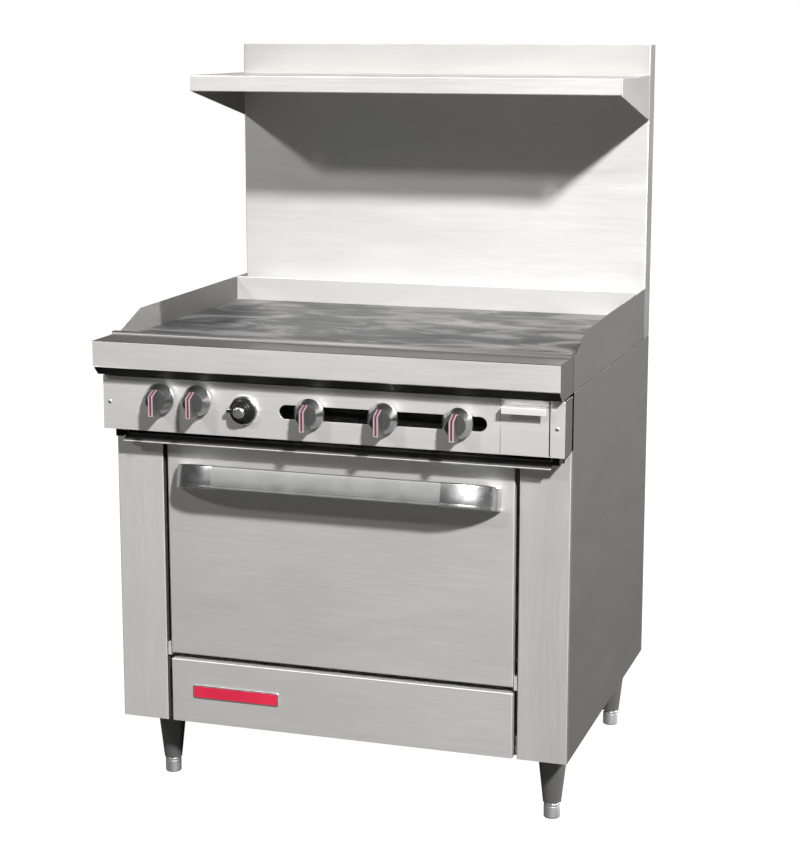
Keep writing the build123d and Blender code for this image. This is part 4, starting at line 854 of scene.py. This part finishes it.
def knob(node):
    """A turned knob: plated skirt and cone, a dark face, and a grip bar with a line inlaid."""
    middle, low, high = centre_of(node)
    back = Vector((middle.x, low.y + KNOB_DEPTH * MM, high.z - KNOB_R * MM))
    plated, dark, ridge, line = range(4)
    shape = bmesh.new()
    stem_end = (high.y - back.y) / MM
    profile = [
        (0, stem_end, plated),
        (4, stem_end, plated),
        (4, 4, plated),
        (6.5, 4, plated),
        (6.5, 0, plated),
        (KNOB_R - 0.7, 0, plated),
        (KNOB_R, -0.7, plated),
        (KNOB_R, KNOB_SKIRT + 0.8, plated),
        (KNOB_R - 0.3, KNOB_SKIRT - 0.2, plated),
        (FACE_R + 0.5, KNOB_FACE + 1.0, plated),
        (FACE_R - 0.1, KNOB_FACE + 0.1, plated),
        (FACE_R - 0.8, KNOB_FACE, dark),
        (FACE_R - 1.1, KNOB_FACE + 0.3, dark),
        (0, KNOB_FACE + 0.3, dark),
    ]
    lathe(shape, back, "Y", profile, 96)

    def bar(half, front, tail, bend, slope_end, materials, edge):
        """A bar across the face: square at its tail, and sloping back to the face at its bend."""
        part = bmesh.new()
        side = [
            (KNOB_SKIRT, tail),
            (front, tail),
            (front, bend),
            (KNOB_FACE + (front + KNOB_DEPTH) * 0.6, slope_end),
            (KNOB_SKIRT, slope_end),
        ]
        outline = [(back.y + y * MM, back.z + z * MM) for y, z in side]
        left, right = back.x - half * MM, back.x + half * MM
        prism(part, "X", outline, left, right, *materials)
        merge(shape, part, edge * MM, 15, 3)

    grip_front, line_front = 0.25 - KNOB_DEPTH, 0.10 - KNOB_DEPTH
    bar(GRIP_HALF, grip_front, GRIP_TAIL, GRIP_BEND, FACE_R - 1.0, (ridge, dark), 0.7)
    bar(LINE_HALF, line_front, LINE_TAIL, GRIP_BEND + 0.2, FACE_R - 0.7, (line, line), 0)
    piece = smooth(new_piece(f"{node}_turned", shape), 22)
    return dress(piece, node, "knob_metal", "knob_face", "knob_ridge", "knob_line")


for node in KNOBS:
    knob(node)


# ---------------------------------------------------------------- igniter
# The lug on the collar's left side: its front and back before the panel, half its height, and
# where it joins the collar.
LUG_FRONT = 20 * MM
LUG_BACK = 8 * MM
LUG_HALF = 4 * MM
LUG_JOIN = 18 * MM


def igniter():
    """A chrome ring round a stepped black collar, with a brushed push button in it."""
    button_middle, button_low, button_high = centre_of("igniter_button")
    _, low, high = centre_of("igniter_bezel")
    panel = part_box("control_panel")[0].y
    start = Vector((button_middle.x, panel, button_middle.z))
    chrome, black = 0, 1
    shape = bmesh.new()
    back = (high.y - panel) / MM
    rings = [
        (12.05, back, black),
        (14.5, back, black),
        (14.5, 0, chrome),
        (29.0, 0, chrome),
        (29.0, -2.6, chrome),
        (28.6, -4.6, chrome),
        (27.6, -6.2, chrome),
        (26.2, -7.0, chrome),
        (25.7, -6.6, black),
        (25.5, -12.6, black),
        (24.6, -13.8, black),
        (23.6, -14.0, black),
        (19.0, -15.6, black),
        (17.6, -17.2, black),
        (17.0, -20.0, black),
        (17.0, -24.8, black),
        (16.2, -26.0, black),
        (13.2, -26.0, black),
        (12.05, -25.0, black),
        (12.05, back, black),
    ]
    lathe(shape, start, "Y", rings, 96)
    lug = bmesh.new()
    lug_low = Vector((low.x, start.y - LUG_FRONT, start.z - LUG_HALF))
    lug_high = Vector((start.x - LUG_JOIN, start.y - LUG_BACK, start.z + LUG_HALF))
    brick(lug, lug_low, lug_high, black)
    merge(shape, lug, 1.2 * MM)
    piece = smooth(new_piece("igniter_bezel_turned", shape), 40)
    dress(piece, "igniter_bezel", "bright_chrome", "black_plastic")

    shape = bmesh.new()
    length = (button_high.y - button_low.y) / MM
    dome = [(0, 0, 0)]
    for i in range(1, 9):
        angle = math.pi / 2 * i / 8
        dome.append((6.0 + 6.0 * math.sin(angle), 0.7 + 5.3 * (1 - math.cos(angle)), 0))
    dome += [(12.0, length, 0), (0, length, 0)]
    lathe(shape, Vector((start.x, button_low.y, start.z)), "Y", dome, 64)
    piece = smooth(new_piece("igniter_button_turned", shape), 40)
    dress(piece, "igniter_button", "bright_chrome")


igniter()


# ---------------------------------------------------------------- door handle
# Millimetres, and one angle: half the handle's length and half its straight part, the channel's
# height, how high its middle meets the door, how it leans, how far it reaches out, and its depth.
HANDLE_HALF = 331.0
HANDLE_STRAIGHT = 231.0
HANDLE_HEIGHT = 46.0
HANDLE_END_Z = 666.0
HANDLE_TILT = math.radians(15.5)
HANDLE_REACH = 78.0
HANDLE_BAND = 24.0


def handle_section(grow):
    """The channel's outline as (depth behind the face, height): a crowned face over a thin lip."""
    half = HANDLE_HEIGHT / 2 - 0.4 + grow
    face = 1.0 - grow
    back = HANDLE_BAND - 0.5
    top_radius = 4.0
    outer = [(back, half)]
    for i in range(6):
        angle = math.pi / 2 * i / 5
        depth = face + 0.3 + top_radius * (1 - math.sin(angle))
        outer.append((depth, half - top_radius * (1 - math.cos(angle))))
    outer += [(face + 0.1, 12), (face, 5), (face, -4), (face + 0.3, -11), (face + 0.9, 6.2 - half)]
    outer += [(face + 2.0, 5.2 - half), (face + 2.0, 4.6 - half), (face + 0.8, 3.8 - half)]
    outer += [(face + 0.8, 1.8 - half), (face + 1.4, 0.6 - half), (face + 2.6, -half)]
    outer += [(back, -half)]
    inner_half = half - 3.5
    inner = [(back, -inner_half), (face + 7.5, -inner_half), (face + 4.5, 4 - inner_half)]
    inner += [(face + 4.5, inner_half - 4), (face + 7.5, inner_half), (back, inner_half)]
    return outer + inner


def handle_stations():
    """The left end's, the middle's and the right end's places: (x, reach, inward x and reach)."""
    wide = HANDLE_HALF - HANDLE_STRAIGHT
    curve = []
    for i in range(25):
        angle = math.pi / 2 * i / 24
        x, reach = wide * math.cos(angle), HANDLE_REACH * math.sin(angle)
        normal = Vector((x / wide**2, reach / HANDLE_REACH**2)).normalized()
        curve.append((HANDLE_STRAIGHT + x, reach, -normal.x, -normal.y))
    straight = [(x, HANDLE_REACH, 0.0, -1.0) for x in (-154, -77, 0, 77, 154)]
    left = [(-x, reach, -inward, back) for x, reach, inward, back in curve]
    return left, straight, curve[::-1]


def handle():
    """A bowed channel with a satin middle and a polished cap cast over each curved end."""
    door_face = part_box("door_outer_skin")[0].y
    depth_way = Vector((0, -math.cos(HANDLE_TILT), math.sin(HANDLE_TILT)))
    height_way = Vector((0, math.sin(HANDLE_TILT), math.cos(HANDLE_TILT)))
    origin = Vector((0, door_face, HANDLE_END_Z * MM))
    left, straight, right = handle_stations()
    satin, polished = 0, 1
    shape = bmesh.new()

    def sweep(stations, grow, material):
        """The section drawn along the stations, and cut off where it would enter the door."""
        rings = []
        for x, reach, inward_x, inward_reach in stations:
            ring = []
            for depth, height in handle_section(grow):
                place_x = x + inward_x * depth
                place_reach = reach + inward_reach * depth
                door_reach = height * math.tan(HANDLE_TILT)
                if reach < 0.5 or place_reach < door_reach:
                    place_reach = door_reach
                offset = depth_way * place_reach + height_way * height
                ring.append(shape.verts.new(origin + (Vector((place_x, 0, 0)) + offset) * MM))
            rings.append(ring)
        for first, second in zip(rings, rings[1:]):
            join_rings(shape, first, second, material)
        for ring in (rings[0], rings[-1]):
            shape.faces.new(ring).material_index = material

    sweep(left[-3:] + straight + right[:3], 0.0, satin)
    sweep(left, 0.4, polished)
    sweep(right, 0.4, polished)
    piece = smooth(new_piece("door_handle_formed", shape), 28)
    return dress(piece, "door_handle", "handle_chrome", "cap_chrome")


handle()


# ---------------------------------------------------------------- blank plate
def blank_plate():
    """A plain enamelled plate with a bright rim, with nothing written on it."""
    middle, low, high = centre_of("blank_plate")
    size = (high.x - low.x, high.z - low.z)
    centre = (middle.x, middle.z)
    corner, inner_corner, border = 4 * MM, 2.6 * MM, 2.2 * MM
    shape = bmesh.new()
    rim, field = 0, 1
    part = bmesh.new()
    outline = rounded_rectangle(centre, size, corner)
    prism(part, "Y", outline, low.y + 0.5 * MM, high.y, rim)
    merge(shape, part, 0.4 * MM, 60)
    part = bmesh.new()
    inner = (size[0] - 2 * border, size[1] - 2 * border)
    outline = rounded_rectangle(centre, inner, inner_corner)
    prism(part, "Y", outline, low.y + 0.1 * MM, high.y, field)
    merge(shape, part, 0.3 * MM, 60)
    piece = smooth(new_piece("blank_plate_enamelled", shape), 30)
    return dress(piece, "blank_plate", "bright_chrome", "plate_enamel")


blank_plate()


# ---------------------------------------------------------------- screws, legs, feet, springs
# Millimetres: how far to the side and how high the screws are, and the gap between rear ones.
PANEL_SCREW = (449.0, 820.0)
REAR_SCREW = (440.0, 186.0)
REAR_SCREW_GAP = 220.0


def screws():
    """Pan heads with a cross in each, on the panel and on the rear sheet; the cross is black,
    painted shade in its recess.
    """
    shape = bmesh.new()
    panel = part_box("control_panel")[0].y
    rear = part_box("rear_panel")[1].y
    places = [(side * PANEL_SCREW[0], panel / MM, PANEL_SCREW[1], -1) for side in (-1, 1)]
    for x in (-REAR_SCREW[0], REAR_SCREW[0]):
        for row in range(4):
            places.append((x, rear / MM, REAR_SCREW[1] + REAR_SCREW_GAP * row, 1))
    for x, y, z, out in places:
        start = Vector((x, y, z)) * MM
        head = [(0, 0.9 * out, 1), (1.5, 0.95 * out, 0), (1.7, 1.5 * out, 0), (2.6, 1.35 * out, 0)]
        head += [(3.6, 0.95 * out, 0), (4.1, 0.4 * out, 0), (4.2, 0, 0), (0, 0, 0)]
        lathe(shape, start, "Y", head, 24)
        # Painted shade: black bars fill the cross recess.
        for wide, tall in ((2.4, 0.45), (0.45, 2.4)):
            low = start + Vector((-wide, min(0.9 * out, 1.25 * out), -tall)) * MM
            high = start + Vector((wide, max(0.9 * out, 1.25 * out), tall)) * MM
            brick(shape, low, high, 1)
        if out < 0:
            lathe(shape, start, "Y", [(0, 0, 0), (2.4, 0, 0), (2.4, 7.5, 0), (0, 8, 0)], 16)
    piece = smooth(new_piece("cover_screws_turned", shape), 35)
    return dress(piece, "cover_screws", "plated_steel", "black_enamel_and_painted_shade")


screws()


def leg(node):
    """A tapered leg with a rolled top rim and a plain cuff at the bottom, its steel darkened as
    painted shade.
    """
    middle, low, high = centre_of(node)
    tall = (high.z - low.z) / MM
    outer = [
        (8.1, 0, 0),
        (17.4, 0, 0),
        (18.4, 0.8, 0),
        (18.4, 4.0, 0),
        (18.9, 6.0, 0),
        (31.4, tall - 4.6, 0),
        (32.0, tall - 3.0, 0),
        (32.0, tall - 0.5, 0),
        (31.5, tall, 0),
        (8.1, tall, 0),
        (8.1, 0, 0),
    ]
    shape = bmesh.new()
    lathe(shape, Vector((middle.x, middle.y, low.z)), "Z", outer, 72)
    piece = smooth(new_piece(f"{node}_turned", shape), 40)
    return dress(piece, node, "leg_steel_painted_shade")


def foot(node):
    """A round foot with a worn rim and a threaded stem up inside the leg."""
    middle, low, high = centre_of(node)
    shape = bmesh.new()
    start = Vector((middle.x, middle.y, low.z))
    top = 31.5
    body = [(0, 0.0, 0), (14.2, 0.0, 0), (15.6, 0.5, 0), (16.4, 1.8, 0), (16.5, 3.0, 0)]
    body += [(16.5, top - 7.2, 0), (16.0, top - 6.6, 0), (16.0, top - 5.8, 0), (16.5, top - 5.2, 0)]
    body += [(16.5, top - 0.8, 0), (15.8, top, 0), (0, top, 0)]
    lathe(shape, start, "Z", body, 64)
    pitch = 2.0
    stem_top = (high.z - low.z) / MM
    ridges = [(0, top - 1, 1)]
    turns = int((stem_top - top) / pitch)
    for turn in range(turns):
        base = top + turn * pitch
        ridges += [(6.9, base, 1), (7.9, base + pitch / 2, 1)]
    ridges += [(6.9, stem_top - 0.2, 1), (0, stem_top, 1)]
    lathe(shape, start, "Z", ridges, 32)
    piece = smooth(new_piece(f"{node}_turned", shape), 40)
    return dress(piece, node, "foot_steel", "plated_steel")


for place in ("front_left", "front_right", "rear_left", "rear_right"):
    leg(f"leg_{place}")
    foot(f"foot_{place}")


def door_springs():
    """Two close-wound coil springs, each with a hook at both ends."""
    _, low, high = centre_of("door_springs")
    shape = bmesh.new()
    wire = 1.3 * MM
    outer = 8 * MM
    coil = outer - wire
    hook, lead = 12 * MM, 4 * MM
    turns, steps = 26, 14
    for x in (low.x + outer, high.x - outer):
        y = (low.y + high.y) / 2
        bottom, top = low.z + hook, high.z - hook
        path = [Vector((x, y, low.z + wire)), Vector((x, y, bottom - lead))]
        for i in range(turns * steps + 1):
            angle = 2 * math.pi * i / steps
            height = bottom + (top - bottom) * i / (turns * steps)
            path.append(Vector((x + coil * math.cos(angle), y + coil * math.sin(angle), height)))
        path += [Vector((x, y, top + lead)), Vector((x, y, high.z - wire))]
        tube(shape, path, wire, 8)
    piece = smooth(new_piece("door_springs_wound", shape), 40)
    return dress(piece, "door_springs", "plated_steel")


door_springs()


# ---------------------------------------------------------------- inner parts, as the CAD has them
PLAIN = {
    "oven_rack": "bright_chrome",
    "rack_guides": "bright_chrome",
    "griddle_burners": "cast_iron",
    "oven_burner": "cast_iron",
    "gas_valves": "brass",
    "oven_thermostat": "die_casting",
    "manifold_pipe": "black_pipe",
    "gas_inlet_pipe": "black_pipe",
    "oven_gas_tube": "drawn_tube",
    "oven_insulation": "mineral_wool",
    "door_insulation": "mineral_wool",
    "door_gasket": "gasket_rope",
    "door_hinge_arms": "plated_steel",
}
for node, material in PLAIN.items():
    finish_cad(node, material)

bpy.context.view_layer.update()
